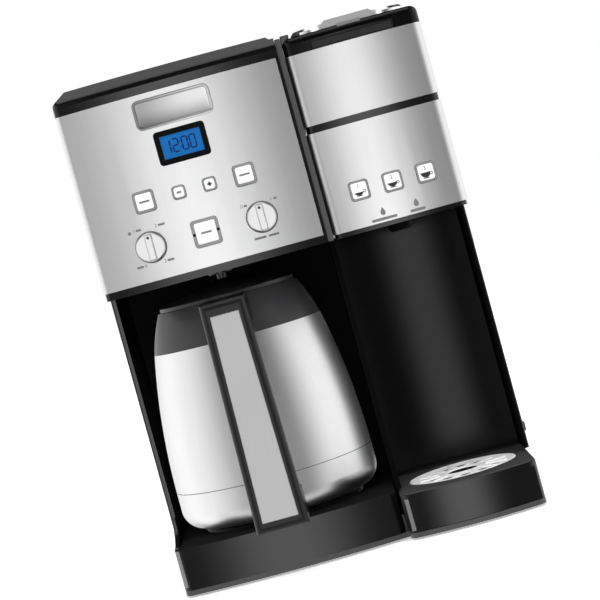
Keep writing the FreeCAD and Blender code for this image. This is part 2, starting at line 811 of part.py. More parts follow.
def hinge_ears(piece, left, right, axis_y, axis_z, foot):
    """Pair of ears that rise from a rim, bored for the hinge pins."""
    for low, high in ((left, f"{left} + ear_thick"), (f"{right} - ear_thick", right)):
        piece.pad("YZ", low, high, Outline(
            (f"{axis_y} - ear_radius", foot),
            (f"{axis_y} + ear_radius", foot),
            (f"{axis_y} + ear_radius", axis_z),
            (axis_y, f"{axis_z} + ear_radius", f"ear_radius * {QUARTER}"),
            (f"{axis_y} - ear_radius", axis_z, f"ear_radius * {QUARTER}"),
        ))
    piece.cut("YZ", left, right, Circle(axis_y, axis_z, "hinge_pin + pin_fit"))


def head_housing():
    tub = Piece("head_housing")
    tub.pad("XY", "head_floor", "head_top", head_plan(SEAT))
    tub.round(f"head_corner - {SEAT}", {"x": f"-half_width + {SEAT}", "y": f"-head_front + {SEAT}"})
    tub.cut("XY", "head_floor + wall", "head_top", Outline(
        ("-half_width + skin + wall", "rear_y - wall"),
        ("-half_width + skin + wall", "-head_front + skin + wall"),
        ("drip_right - wall", "-head_front + skin + wall", "head_bow"),
        ("drip_right - wall", "rear_y - wall"),
    ))
    tub.pad("XY", "head_floor + wall", "ring_top", Circle("carafe_x", "carafe_y", "ring_radius"))
    tub.cut("XY", "head_floor + wall", "ring_top", Circle("carafe_x", "carafe_y", "ring_radius - wall"))
    tub.cut("XY", "head_floor", "head_floor + wall", Circle("carafe_x", "carafe_y", "drip_hole"))
    for spot in (("riser_x", "riser_y"), ("feed_x", "feed_y")):
        tub.cut("XY", "head_floor", "head_floor + wall", Circle(*spot, "hose_radius + pin_fit"))
    for across in ("board_left + wall", "board_right - wall"):
        for height in ("board_low + wall", "board_high - wall"):
            tub.pad("XZ", "-head_front - head_bow / 4", f"{PANEL_FACE} + {BOARD_SET}",
                    square(across, height, "(2 * stem_radius)"))
    control_openings(tub, f"{PANEL_FACE} + skin - slack", f"{PANEL_FACE} + {BOARD_SET}")
    hinge_ears(tub, f"-half_width + {SEAT}", "drip_right", "lid_axis_y", "lid_axis_z", "head_top - wall")


def control_panel():
    panel = Piece("control_panel")
    panel.pad("XY", "panel_low", "head_top", Outline(
        ("-half_width", "-panel_wrap"),
        ("-half_width", "-head_front"),
        ("drip_right", "-head_front", "head_bow"),
        ("drip_right", "-head_front + skin"),
        ("-half_width + skin", "-head_front + skin", "-head_bow"),
        ("-half_width + skin", "-panel_wrap"),
    ))
    panel.round("head_corner", {"x": "-half_width", "y": "-head_front"})
    panel.round("head_corner - skin", {"x": "-half_width + skin", "y": "-head_front + skin"})
    panel.cut("XY", "panel_low", "head_top", rectangle(
        "drip_right - panel_edge", f"{PANEL_FACE}", "drip_right", "-head_front + 2 * skin"))
    control_openings(panel, f"{PANEL_FACE} - slack", "-head_front + 2 * skin")


def panel_button(label, centre, height, side, face, crown):
    """Square push button: cap over the face, flange that keeps it in and stem towards its switch."""
    front = f"{face} - button_stand"
    flange = f"{face} + flange_set"
    button = Piece(label)
    button.pad("XZ", front, flange, square(centre, height, side))
    half = f"{side} / 2"
    button.round("button_corner", *[{"x": f"{centre} {a} {half}", "z": f"{height} {b} {half}"}
                                    for a in "+-" for b in "+-"])
    button.bevel("button_edge", {"y": front})
    button.pad("XZ", flange, f"{flange} + button_flange", square(
        centre, height, f"({side} + 2 * button_flange)"))
    button.pad("XZ", f"{flange} + button_flange", f"{crown} + stem_reach", square(
        centre, height, "(2 * stem_radius)"))


def knob(label, shift):
    """Round knob with a raised grip bar, a shaft and a collar behind the wall."""
    centre = f"control_x + {shift}"
    back = f"{panel_face('knob_reach - knob_radius')} - slack"
    front = f"{back} - knob_depth"
    collar = f"{panel_face(shift)} + flange_set"
    dial = Piece(label)
    dial.pad("XZ", front, back, Circle(centre, "lower_row", "knob_radius"))
    dial.bevel("knob_edge", {"y": front})
    dial.pad("XZ", f"{front} - knob_grip", front, rectangle(
        f"{centre} - knob_grip_width / 2", "lower_row - knob_grip_half",
        f"{centre} + knob_grip_width / 2", "lower_row + knob_grip_half"))
    dial.round("knob_edge", {"y": f"{front} - knob_grip"})
    dial.pad("XZ", back, f"{PANEL_FACE} + {BOARD_SET} - slack", Circle(centre, "lower_row", "shaft_radius"))
    dial.pad("XZ", collar, f"{collar} + button_flange", Circle(
        centre, "lower_row", "shaft_radius + button_flange"))


def display_bezel():
    bezel = Piece("display_bezel")
    front = f"{PANEL_FACE} - bezel_stand"
    bezel.pad("XZ", front, PANEL_FACE, display_frame("0"))
    bezel.round("bezel_corner", *[
        {"x": f"control_x {a} bezel_width / 2", "z": f"screen_z {b} bezel_height / 2"}
        for a in "+-" for b in "+-"])
    bezel.bevel("bezel_stand / 2", {"y": front})
    bezel.pad("XZ", PANEL_FACE, f"{PANEL_FACE} + bezel_depth", display_frame("bezel_lip + slack"))
    bezel.cut("XZ", front, f"{PANEL_FACE} + bezel_depth", display_frame("bezel_rim"))


def display_window():
    screen = Piece("display_window")
    screen.pad("XZ", f"{PANEL_FACE} - bezel_stand / 2", f"{PANEL_FACE} + screen_depth",
               display_frame("bezel_rim"))


def control_board():
    board = Piece("control_board")
    front = f"{PANEL_FACE} + {BOARD_SET}"
    board.pad("XZ", front, f"{front} + board_thick", rectangle(
        "board_left", "board_low", "board_right", "board_high"))
    return board.body


# Lid over the reservoir and basket
sizes(
    ("lid_top", 416, "top of the lid"),
    ("lid_brow", 407, "top of the lid's front face"),
    ("lid_edge", 7, "rounded edge over the lid's front face"),
    ("lid_rear", 145, "rear edge of the lid beside its barrel"),
    ("lid_wall", 3, "lid wall"),
    ("lid_corner", 12, "width of the lid's bevelled left end"),
    ("lid_inner_corner", 6, "bevelled right top corner of the lid"),
    ("lid_notch", 36, "width of the finger notch"),
    ("lid_notch_depth", 1.8, "height of the finger notch"),
)


def reservoir_lid():
    lid = Piece("reservoir_lid")
    low = "head_top + slack"
    lid.pad("XY", low, "lid_top", Outline(
        ("-half_width", "lid_rear"),
        ("-half_width", "-head_front"),
        ("drip_right", "-head_front", "head_bow"),
        ("drip_right", "lid_rear"),
    ))
    front = f"{PANEL_FACE} - skin"
    lid.bevel("lid_top - lid_brow", {"z": "lid_top", "front": "-head_front"})
    lid.round("lid_edge", {"z": "lid_brow", "front": "-head_front"})
    lid.round("head_corner", {"x": "-half_width", "y": "-head_front"})
    lid.cut("XZ", front, "lid_rear", Outline(
        ("-half_width", "lid_brow"),
        ("-half_width + lid_corner", "lid_top"),
        ("-half_width", "lid_top"),
    ))
    lid.cut("XZ", front, "lid_rear", Outline(
        ("drip_right", "lid_top - lid_inner_corner"),
        ("drip_right", "lid_top"),
        ("drip_right - lid_inner_corner", "lid_top"),
    ))
    lid.cut("XY", low, "lid_brow - lid_wall", Outline(
        ("-half_width + 2 * lid_wall", "lid_rear - lid_wall"),
        ("-half_width + 2 * lid_wall", "-head_front + lid_wall"),
        ("drip_right - lid_wall", "-head_front + lid_wall", "head_bow"),
        ("drip_right - lid_wall", "lid_rear - lid_wall"),
    ))
    lid.cut("XY", low, "lid_top - lid_wall", rectangle(
        "-half_width + lid_corner + lid_wall", "-head_front + lid_top - lid_brow + lid_wall",
        "drip_right - lid_inner_corner - lid_wall", "lid_rear - lid_corner"))
    lid.cut("XY", "lid_top - 2 * lid_notch_depth", "lid_top - lid_notch_depth", rectangle(
        "control_x - lid_notch / 2", front, "control_x + lid_notch / 2", f"{front} + lid_top - lid_brow"))
    left = f"-half_width + {SEAT} + ear_thick + slack"
    right = "drip_right - ear_thick - slack"
    lid.pad("YZ", left, right, Circle("lid_axis_y", "lid_axis_z", "ear_radius"))
    lid.pad("YZ", left, right, rectangle(
        "lid_rear - lid_wall", "lid_axis_z", "lid_axis_y", "lid_axis_z + ear_radius"))
    lid.cut("YZ", left, right, Circle("lid_axis_y", "lid_axis_z", "hinge_pin + pin_fit"))


# Water path of the drip side
sizes(
    ("tank_wall", 2.5, "tank wall"),
    ("tank_left", -143, "drip-side tank"),
    ("tank_right", 0, "drip-side tank"),
    ("tank_front", 72, "drip-side tank"),
    ("tank_rear", 146, "drip-side tank"),
    ("tank_top", 385, "drip-side tank"),
    ("tank_corner", 8, "upright tank corners"),
    ("shower_radius", 34, "shower head"),
    ("shower_low", 338, "shower head"),
    ("shower_thick", 8, "shower head"),
    ("shower_arm", 4.5, "half width of the shower arm"),
    ("shower_hole", 1.6, "hole of the shower head"),
    ("shower_holes", 8, "holes of the shower head"),
    ("shower_ring", 22, "ring of shower holes"),
    ("basket_top", 331, "rim of the basket holder"),
    ("basket_mouth", 54.5, "inside of the basket holder at its rim"),
    ("basket_foot", 36, "inside of the basket holder at its floor"),
    ("basket_wall", 2.5, "basket holder"),
    ("basket_flange", 5, "flange of the basket holder"),
    ("spout_bore", 8, "spout of the basket holder"),
    ("spout_low", 243.5, "spout of the basket holder"),
    ("filter_wall", 1.2, "filter basket"),
    ("filter_slack", 0.8, "filter basket in its holder"),
    ("valve_low", 235.3, "foot of the drip-stop valve"),
    ("valve_travel", 4, "drip-stop valve"),
    ("valve_foot", 9, "foot of the drip-stop valve"),
    ("valve_tip", 5.4, "lower end of the drip-stop valve"),
    ("valve_head", 4, "height of the drip-stop valve's head"),
    ("valve_stem", 4, "drip-stop valve"),
    ("pump_radius", 18, "pump"),
    ("pump_length", 64, "pump"),
    ("pump_z", 66, "pump axis"),
    ("pump_x", -60, "left face of the pump"),
    ("hose_bend", 24, "bend of the feed hose"),
    ("boiler_x", 92, "cup-side boiler"),
    ("boiler_y", 52, "cup-side boiler"),
    ("boiler_radius", 30, "cup-side boiler"),
    ("boiler_top", 150, "cup-side boiler"),
    ("boiler_dome", 10, "cup-side boiler"),
)


def water_tank_plan(inset):
    return rounded(
        f"tank_left + {inset}", f"tank_front + {inset}", f"tank_right - ({inset})", f"tank_rear - ({inset})",
        f"(tank_corner - ({inset}))")


def water_tank():
    tank = Piece("water_tank")
    tank.pad("XY", "head_floor + wall", "tank_top", water_tank_plan("0"))
    tank.cut("XY", "head_floor + wall + tank_wall", "tank_top", water_tank_plan("tank_wall"))


def shower_head():
    rose = Piece("shower_head")
    high = "shower_low + shower_thick"
    away_x = "(riser_x - carafe_x)"
    away_y = "(riser_y - carafe_y)"
    rose.pad("XY", "shower_low", high, Circle("0", "0", "shower_radius"))
    rose.pad("XY", "shower_low", high, Outline(
        ("-shower_arm", "shower_arm"),
        ("shower_arm", "-shower_arm"),
        (f"{away_x} + shower_arm", f"{away_y} - shower_arm"),
        (f"{away_x} - shower_arm", f"{away_y} + shower_arm"),
    ))
    rose.pad("XY", "shower_low - shower_thick", high, Circle(away_x, away_y, "hose_radius + tank_wall"))
    rose.cut("XY", "shower_low - shower_thick", high, Circle(away_x, away_y, "hose_radius + pin_fit"))
    hole = rose.cut("XY", "shower_low", high, Circle("shower_ring", "0", "shower_hole"))
    rose.ring(hole, "shower_holes")
    rose.place("carafe_x", "carafe_y")


def basket_holder():
    funnel = Piece("basket_holder")
    funnel.turn(Outline(
        ("spout_bore", "spout_low"),
        ("spout_bore + basket_wall", "spout_low"),
        ("spout_bore + basket_wall", "ring_top"),
        ("basket_foot + basket_wall", "ring_top"),
        ("basket_mouth + basket_wall", "basket_top - basket_wall"),
        ("basket_mouth + basket_wall + basket_flange", "basket_top - basket_wall"),
        ("basket_mouth + basket_wall + basket_flange", "basket_top"),
        ("basket_mouth", "basket_top"),
        ("basket_foot", "ring_top + basket_wall"),
        ("spout_bore", "ring_top + basket_wall"),
    ))
    funnel.place("carafe_x", "carafe_y")


def filter_basket():
    low = "ring_top + basket_wall + slack"
    cup = Piece("filter_basket")
    cup.turn(Outline(
        ("0", low),
        ("basket_foot - filter_slack", low),
        ("basket_mouth - filter_slack", "basket_top + slack"),
        ("basket_mouth + basket_flange", "basket_top + slack"),
        ("basket_mouth + basket_flange", "basket_top + slack + filter_wall"),
        ("basket_mouth - filter_slack - filter_wall", "basket_top + slack + filter_wall"),
        ("basket_foot - filter_slack - filter_wall", f"{low} + filter_wall"),
        ("0", f"{low} + filter_wall"),
    ))
    cup.place("carafe_x", "carafe_y")


def drip_stop_valve():
    foot_top = "spout_low - valve_travel - slack"
    valve = Piece("drip_stop_valve")
    valve.turn(Outline(
        ("0", "valve_low"),
        ("valve_tip", "valve_low"),
        ("valve_foot", foot_top),
        ("valve_stem", foot_top),
        ("valve_stem", "ring_top - valve_travel - valve_head"),
        ("spout_bore - slack", "ring_top - valve_travel - valve_head / 2"),
        ("spout_bore - slack", "ring_top - valve_travel"),
        ("0", "ring_top - valve_travel"),
    ))
    valve.place("carafe_x", "carafe_y")


def riser_hose():
    hose = Piece("riser_hose")
    hose.pad("XY", "base_top", "shower_low + shower_thick", Circle("riser_x", "riser_y", "hose_radius"))
    return hose.body


def feed_hose():
    hose = Piece("feed_hose")
    hose.sweep("XZ", "-feed_y", Outline(
        ("feed_x", "head_floor + wall"),
        ("feed_x", "pump_z + hose_bend"),
        ("feed_x + hose_bend", "pump_z", f"hose_bend * {QUARTER}"),
        ("pump_x", "pump_z"),
        closed=False,
    ), "hose_radius")
    return hose.body


def pump():
    motor = Piece("pump")
    motor.pad("YZ", "pump_x", "pump_x + pump_length", Circle("feed_y", "pump_z", "pump_radius"))
    motor.bevel("wall", {"x": "pump_x"}, {"x": "pump_x + pump_length"})
    motor.pad("XY", "base_top", "pump_z - pump_radius / 2", rectangle(
        "pump_x + wall * 2", "feed_y - pump_radius / 2",
        "pump_x + pump_length - wall * 2", "feed_y + pump_radius / 2"))


def boiler():
    kettle = Piece("boiler")
    kettle.turn(Outline(
        ("0", "base_top"),
        ("boiler_radius", "base_top"),
        ("boiler_radius", "boiler_top - boiler_dome"),
        ("hose_radius", "boiler_top", "boiler_dome / 4"),
        ("hose_radius", "boiler_top + boiler_dome"),
        ("0", "boiler_top + boiler_dome"),
    ))
    kettle.place("boiler_x", "boiler_y")


# Single-cup head: fascia, housing, pod holder and hinged lid
sizes(
    ("pod_front", 100.5, "front corners of the single-cup head"),
    ("pod_bow", 7.5, "how far its front bows out"),
    ("pod_corner", 9, "upright front corners of the single-cup head"),
    ("pod_rear", 60, "rear end of the fascia and the lid"),
    ("fascia_low", 249.6, "lower edge of the steel fascia"),
    ("fascia_top", 332, "upper edge of the steel fascia"),
    ("band_low", 338, "lower edge of the steel band of the lid"),
    ("band_top", 395.6, "upper edge of the steel band of the lid"),
    ("cap_top", 410, "top of the lid's cap"),
    ("cap_edge", 6, "rounded top edge of the cap"),
    ("cap_lip_width", 67, "raised lip on the front of the cap"),
    ("cap_lip_stand", 1.5, "raised lip on the front of the cap"),
    ("cap_lip_top", 403, "raised lip on the front of the cap"),
    ("cap_lip_edge", 1.2, "rounded edges of that lip"),
    ("trim_top", 414.5, "top of the bright trim on the cap"),
    ("trim_width", 8, "width of the bright trim"),
    ("trim_inset", 9, "trim from the sides of the cap"),
    ("trim_front", 5, "trim from the front of the cap"),
    ("grip_top", 416.5, "top of the raised grip on the trim"),
    ("grip_half", 18, "half the flat top of the grip"),
    ("grip_slope", 9, "sloped ends of the grip"),
    ("trim_corner", 20, "corners of the trim"),
    ("block_front", 62, "hinge block behind the lid"),
    ("block_top", 394, "hinge block behind the lid"),
    ("pod_axis_y", 70, "lid hinge"),
    ("pod_axis_z", 403, "lid hinge"),
    ("pod_x", 94.5, "pod axis"),
    ("pod_y", -50, "pod axis"),
    ("pod_mouth", 27, "outside of the pod holder at the deck"),
    ("pod_foot", 23, "outside of the pod holder at its floor"),
    ("pod_low", 290, "floor of the pod holder"),
    ("pod_wall", 2, "pod holder"),
    ("pod_flange", 6, "flange of the pod holder"),
    ("pod_rim", 2.4, "flange of the pod holder"),
    ("pod_nozzle", 5, "outlet of the pod holder"),
    ("spout_radius", 10, "coffee spout"),
    ("spout_end", 239, "end of the coffee spout"),
    ("spout_cup", 18, "cup of the coffee spout"),
    ("spout_rise", 268, "rim of the coffee spout"),
    ("needle_radius", 1.5, "inlet needle"),
    ("needle_tip", 320, "tip of the inlet needle"),
    ("needle_boss", 16, "boss that carries the needle"),
    ("seal_ring", 9, "rubber seal round the needle"),
    ("seal_low", 337, "rubber seal round the needle"),
    ("cup_button", 15.5, "cup button side"),
    ("cup_button_x", 95.5, "middle cup button"),
    ("cup_pitch", 27.3, "spacing of the cup buttons"),
    ("cup_board_width", 91, "board behind the cup buttons"),
    ("cup_board_height", 34, "board behind the cup buttons"),
)

POD_FACE = "-(pod_front + pod_bow)"
CUP_BUTTONS = {
    "small_cup_button": "cup_button_x - cup_pitch",
    "medium_cup_button": "cup_button_x",
    "large_cup_button": "cup_button_x + cup_pitch",
}


def pod_face(across):
    """Place of the bowed fascia at a place across it."""
    return f"({POD_FACE} + pod_bow * (({across} - pod_x) / (half_width - pod_x)) ^ 2)"


def pod_plan(inset, rear):
    """Outline of the single-cup head, drawn in by an inset, with square front corners."""
    return Outline(
        (f"pod_left + {inset}", rear),
        (f"pod_left + {inset}", f"-pod_front + {inset}"),
        (f"half_width - ({inset})", f"-pod_front + {inset}", "pod_bow"),
        (f"half_width - ({inset})", rear),
    )


def pod_corners(inset):
    """Places of the two upright front corners of that outline."""
    along = f"-pod_front + {inset}"
    return {"x": f"pod_left + {inset}", "y": along}, {"x": f"half_width - ({inset})", "y": along}


def steel_wrap(label, low, high):
    """Bowed sheet steel round the front and both sides of the single-cup head."""
    wrap = Piece(label)
    wrap.pad("XY", low, high, Outline(
        ("pod_left", "pod_rear"),
        ("pod_left", "-pod_front"),
        ("half_width", "-pod_front", "pod_bow"),
        ("half_width", "pod_rear"),
        ("half_width - skin", "pod_rear"),
        ("half_width - skin", "-pod_front + skin"),
        ("pod_left + skin", "-pod_front + skin", "-pod_bow"),
        ("pod_left + skin", "pod_rear"),
    ))
    wrap.round("pod_corner", *pod_corners("0"))
    wrap.round("pod_corner - skin", *pod_corners("skin"))
    return wrap


def cup_openings(piece, front, back):
    """Openings for the cup buttons, through one wall."""
    for centre in CUP_BUTTONS.values():
        piece.cut("XZ", front, back, button_hole(centre, "lower_row", "cup_button"))


def lower_fascia():
    fascia = steel_wrap("lower_fascia", "fascia_low", "fascia_top")
    cup_openings(fascia, f"{POD_FACE} - slack", "-pod_front + 2 * skin")


def brew_head_housing():
    """Tub behind the fascia, with a hollow hinge block that carries the lid's ears."""
    tub = Piece("brew_head_housing")
    tub.pad("XY", "head_floor", "fascia_top - wall", pod_plan(SEAT, "block_front"))
    tub.round(f"pod_corner - {SEAT}", *pod_corners(SEAT))
    tub.pad("XY", "head_floor", "block_top", rectangle(
        f"pod_left + {SEAT}", "block_front", f"half_width - {SEAT}", "tank_back"))
    tub.cut("XY", "head_floor + wall", "fascia_top - wall", Outline(
        ("pod_left + skin + wall", "block_front - wall"),
        ("pod_left + skin + wall", "-pod_front + skin + wall"),
        ("half_width - skin - wall", "-pod_front + skin + wall", "pod_bow"),
        ("half_width - skin - wall", "block_front - wall"),
    ))
    tub.cut("XY", "head_floor", "block_top - wall", rectangle(
        "pod_left + skin + wall", "block_front + wall", "half_width - skin - wall", "tank_back - wall"))
    tub.cut("XY", "head_floor", "head_floor + wall", Circle("pod_x", "pod_y", "spout_radius + slack"))
    for side in "+-":
        tub.pad("XZ", "-pod_front - pod_bow / 8", f"{POD_FACE} + {BOARD_SET}", square(
            f"cup_button_x {side} (cup_board_width / 2 - stem_radius)", "lower_row", "(2 * stem_radius)"))
    cup_openings(tub, f"{POD_FACE} + skin - slack", f"{POD_FACE} + {BOARD_SET}")
    hinge_ears(tub, f"pod_left + {SEAT}", f"half_width - {SEAT}",
               "pod_axis_y", "pod_axis_z", "block_top - wall")


def cup_board():
    board = Piece("cup_button_board")
    front = f"{POD_FACE} + {BOARD_SET}"
    board.pad("XZ", front, f"{front} + board_thick", rectangle(
        "cup_button_x - cup_board_width / 2", "lower_row - cup_board_height / 2",
        "cup_button_x + cup_board_width / 2", "lower_row + cup_board_height / 2"))
    return board.body


def brew_deck():
    """Plate that closes the tub and carries the pod holder."""
    deck = Piece("brew_deck")
    deck.pad("XY", "fascia_top - wall", "fascia_top", pod_plan(SEAT, "block_front"))
    deck.round(f"pod_corner - {SEAT}", *pod_corners(SEAT))
    deck.cut("XY", "fascia_top - wall", "fascia_top", Circle("pod_x", "pod_y", "pod_mouth + slack"))


def pod_holder():
    cup = Piece("pod_holder")
    cup.turn(Outline(
        ("pod_nozzle - pod_wall", "pod_low - pod_flange"),
        ("pod_nozzle", "pod_low - pod_flange"),
        ("pod_nozzle", "pod_low"),
        ("pod_foot", "pod_low"),
        ("pod_mouth", "fascia_top"),
        ("pod_mouth + pod_flange", "fascia_top"),
        ("pod_mouth + pod_flange", "fascia_top + pod_rim"),
        ("pod_mouth - pod_wall", "fascia_top + pod_rim"),
        ("pod_foot - pod_wall", "pod_low + pod_wall"),
        ("pod_nozzle - pod_wall", "pod_low + pod_wall"),
    ))
    cup.place("pod_x", "pod_y")


def brew_spout():
    funnel = Piece("brew_spout")
    funnel.turn(Outline(
        ("spout_radius - 2 * pod_wall", "spout_end"),
        ("spout_radius - pod_wall", "spout_end"),
        ("spout_radius", "spout_end + pod_wall"),
        ("spout_radius", "head_floor + wall"),
        ("spout_cup", "head_floor + wall"),
        ("spout_cup", "spout_rise"),
        ("spout_cup - pod_wall", "spout_rise"),
        ("spout_cup - pod_wall", "head_floor + 2 * wall"),
        ("spout_radius - 2 * pod_wall", "head_floor + wall"),
    ))
    funnel.place("pod_x", "pod_y")


def brew_lid_shell():
    """Moulded inner shell of the lid, open below, with the boss for the needle."""
    low = "fascia_top + slack"
    shell = Piece("brew_lid_shell")
    shell.pad("XY", low, "band_top", pod_plan(SEAT, "pod_rear"))
    shell.round(f"pod_corner - {SEAT}", *pod_corners(SEAT))
    shell.cut("XY", low, "band_top - wall", Outline(
        ("pod_left + skin + wall", "pod_rear - wall"),
        ("pod_left + skin + wall", "-pod_front + skin + wall"),
        ("half_width - skin - wall", "-pod_front + skin + wall", "pod_bow"),
        ("half_width - skin - wall", "pod_rear - wall"),
    ))
    shell.pad("XY", "seal_low + wall", "band_top - wall", Circle("pod_x", "pod_y", "needle_boss"))
    shell.cut("XY", "seal_low + wall", "band_top - wall", Circle("pod_x", "pod_y", "needle_radius + pin_fit"))


def brew_lid_cap():
    cap = Piece("brew_lid_cap")
    cap.pad("XY", "band_top", "cap_top", pod_plan("0", "pod_rear"))
    cap.round("pod_corner", *pod_corners("0"))
    cap.round("cap_edge", {"z": "cap_top"})
    cap.pad("XZ", f"{POD_FACE} - cap_lip_stand", "-pod_front", rectangle(
        "pod_x - cap_lip_width / 2", "band_top", "pod_x + cap_lip_width / 2", "cap_lip_top"))
    cap.round("cap_lip_edge", {"y": f"{POD_FACE} - cap_lip_stand"})
    cap.cut("XY", "band_top", "cap_top - wall", Outline(
        ("pod_left + 2 * wall", "pod_rear - 2 * wall"),
        ("pod_left + 2 * wall", "-pod_front + 2 * wall"),
        ("half_width - 2 * wall", "-pod_front + 2 * wall", "pod_bow"),
        ("half_width - 2 * wall", "pod_rear - 2 * wall"),
    ))
    left = f"pod_left + {SEAT} + ear_thick + slack"
    right = f"half_width - {SEAT} - ear_thick - slack"
    cap.pad("YZ", left, right, Circle("pod_axis_y", "pod_axis_z", "ear_radius"))
    cap.pad("YZ", left, right, rectangle(
        "pod_rear - wall", "pod_axis_z", "pod_axis_y", "pod_axis_z + ear_radius"))
    cap.cut("YZ", left, right, Circle("pod_axis_y", "pod_axis_z", "hinge_pin + pin_fit"))


def brew_lid_trim():
    """Bright rounded frame on top of the cap, raised into a grip at the front."""
    trim = Piece("brew_lid_trim")
    left = "pod_left + trim_inset"
    right = "half_width - trim_inset"
    front = "-pod_front + trim_front"
    rear = "pod_rear - 3 * trim_inset"
    trim.pad("XY", "cap_top", "trim_top", rectangle(left, front, right, rear))
    trim.round("trim_corner", *[{"x": across, "y": along} for across in (left, right)
                                for along in (front, rear)])
    inner = (f"{left} + trim_width", f"{front} + trim_width", f"{right} - trim_width", f"{rear} - trim_width")
    trim.cut("XY", "cap_top", "trim_top", rectangle(*inner))
    trim.round("trim_corner - trim_width", *[{"x": across, "y": along} for across in inner[::2]
                                             for along in inner[1::2]])
    trim.bevel("trim_width / 4", {"z": "trim_top"})
    trim.pad("XZ", front, f"{front} + trim_width", Outline(
        ("pod_x - grip_half - grip_slope", "cap_top"),
        ("pod_x - grip_half", "grip_top"),
        ("pod_x + grip_half", "grip_top"),
        ("pod_x + grip_half + grip_slope", "cap_top"),
    ))


def inlet_needle():
    needle = Piece("inlet_needle")
    needle.turn(Outline(
        ("0", "needle_tip"),
        ("needle_radius", "needle_tip + 2 * needle_radius"),
        ("needle_radius", "band_top - wall"),
        ("0", "band_top - wall"),
    ))
    needle.place("pod_x", "pod_y")


def needle_seal():
    seal = Piece("needle_seal")
    seal.turn(Outline(
        ("needle_radius + slack", "seal_low"),
        ("seal_ring - wall", "seal_low"),
        ("seal_ring", "seal_low + wall"),
        ("needle_radius + slack", "seal_low + wall"),
    ))
    seal.place("pod_x", "pod_y")


def hinge_pins():
    along_x = FreeCAD.Vector(1, 0, 0)
    pins = []
    for name, left, right, axis in (
            ("lid", f"-half_width + {SEAT}", "drip_right", ("lid_axis_y", "lid_axis_z")),
            ("pod", f"pod_left + {SEAT}", f"half_width - {SEAT}", ("pod_axis_y", "pod_axis_z"))):
        for side, start in (("left", left), ("right", f"{right} - hinge_pin_length")):
            pins.append(rod(f"{name}_{side}_pin", "hinge_pin", "hinge_pin_length", (start, *axis), along_x))
    group("hinge_pins", pins)


# Lift-off tank of the single-cup side
sizes(
    ("side_tank_gap", 2, "tank behind the hinge block"),
    ("side_tank_top", 386, "rim of the tank"),
    ("side_tank_corner", 12, "rear corners of the tank"),
    ("side_tank_lid_top", 392, "top of the tank lid"),
    ("nipple_radius", 8, "valve nipple under the tank"),
    ("lid_step", 4, "lid reaches into the tank"),
)


def side_tank_plan(inset):
    """Tank outline with square corners in front and round ones behind, drawn in by an inset."""
    return rounded(
        f"pod_left + skin + {inset}", f"tank_back + side_tank_gap + {inset}",
        f"half_width - side_inset - ({inset})", f"rear_y - ({inset})",
        f"(side_tank_corner - ({inset}))", front=False)


def side_tank():
    tank = Piece("side_tank")
    tank.pad("XY", "tank_rest + slack", "side_tank_top", side_tank_plan("0"))
    tank.cut("XY", "tank_rest + slack + tank_wall", "side_tank_top", side_tank_plan("tank_wall"))
    tank.pad("XY", "tank_rest - panel_thick", "tank_rest + slack + tank_wall", Circle(
        "boiler_x", "(tank_back + rear_y) / 2", "nipple_radius"))


def side_tank_lid():
    lid = Piece("side_tank_lid")
    lid.pad("XY", "side_tank_top + slack", "side_tank_lid_top", side_tank_plan("0"))
    lid.round("tank_wall", {"z": "side_tank_lid_top"})
    lid.pad("XY", "side_tank_top - lid_step", "side_tank_top + slack", side_tank_plan("tank_wall + slack"))


# Thermal carafe
sizes(
    ("carafe_seam", 77, "seam between the carafe's wall and its base cap"),
    ("carafe_radius", 83.5, "widest radius of the carafe"),
    ("carafe_heel", 60, "height at which the bottom starts to round in"),
    ("carafe_foot", 66, "radius of the flat bottom"),
    ("carafe_round", 5, "bow of the rounded bottom"),
    ("steel_top", 191.8, "upper edge of the steel wall"),
    ("steel_top_radius", 71, "radius of the steel at its upper edge"),
    ("carafe_bow", 3, "bow of the steel wall"),
    ("carafe_wall", 4, "double wall"),
    ("liner", 0.8, "inner steel liner"),
    ("collar_top", 224, "top of the collar"),
    ("collar_top_radius", 59, "radius of the collar at its top"),
    ("collar_bow", 1, "bow of the collar"),
    ("mouth_radius", 46, "pouring mouth"),
    ("mouth_low", 198, "lower end of the mouth"),
    ("stopper_low", 206, "lower end of the lid's stopper"),
    ("lid_rim", 57, "radius of the carafe lid"),
    ("lid_rim_height", 3, "edge of the carafe lid"),
    ("lid_dome", 234, "top of the carafe lid"),
    ("lid_crown", 12, "rim of the dimple on the carafe lid"),
    ("lid_dimple", 9.6, "floor of the dimple on the carafe lid"),
    ("handle_front", 135.2, "front of the handle from the carafe axis"),
    ("handle_low", 42, "lower end of the handle"),
    ("handle_high", 225, "upper end of the handle"),
    ("handle_foot", 42, "width of the handle at its lower end"),
    ("handle_head", 36, "width of the handle at its upper end"),
    ("handle_edge", 5, "rounded edges of the handle's front"),
    ("handle_depth", 24, "thickness of the grip"),
    ("handle_arm_low", 66, "top of the lower arm"),
    ("handle_arm_high", 204, "underside of the upper arm"),
    ("handle_bend", 10, "bend between the grip and its arms"),
    ("insert_low", 50, "steel strip in the handle"),
    ("insert_high", 215, "steel strip in the handle"),
    ("insert_foot", 29, "width of the strip at its lower end"),
    ("insert_head", 23, "width of the strip at its upper end"),
    ("insert_thick", 1.5, "steel strip in the handle"),
    ("insert_stand", 0.8, "strip stands out of the handle"),
    ("insert_edge", 0.55, "rounded front edges of the strip"),
)

CARAFE_LOW = "(base_top + rest_height + slack)"


def carafe_wall_points(inset):
    """Outer face of the carafe from its flat bottom to the collar, drawn in by an inset."""
    return (
        ("0", f"{CARAFE_LOW} + {inset}"),
        (f"carafe_foot - ({inset})", f"{CARAFE_LOW} + {inset}"),
        (f"carafe_radius - ({inset})", f"carafe_heel + ({inset}) / 2", "carafe_round"),
        (f"carafe_radius - ({inset})", "carafe_seam"),
        (f"steel_top_radius - ({inset})", "steel_top", "carafe_bow"),
    )


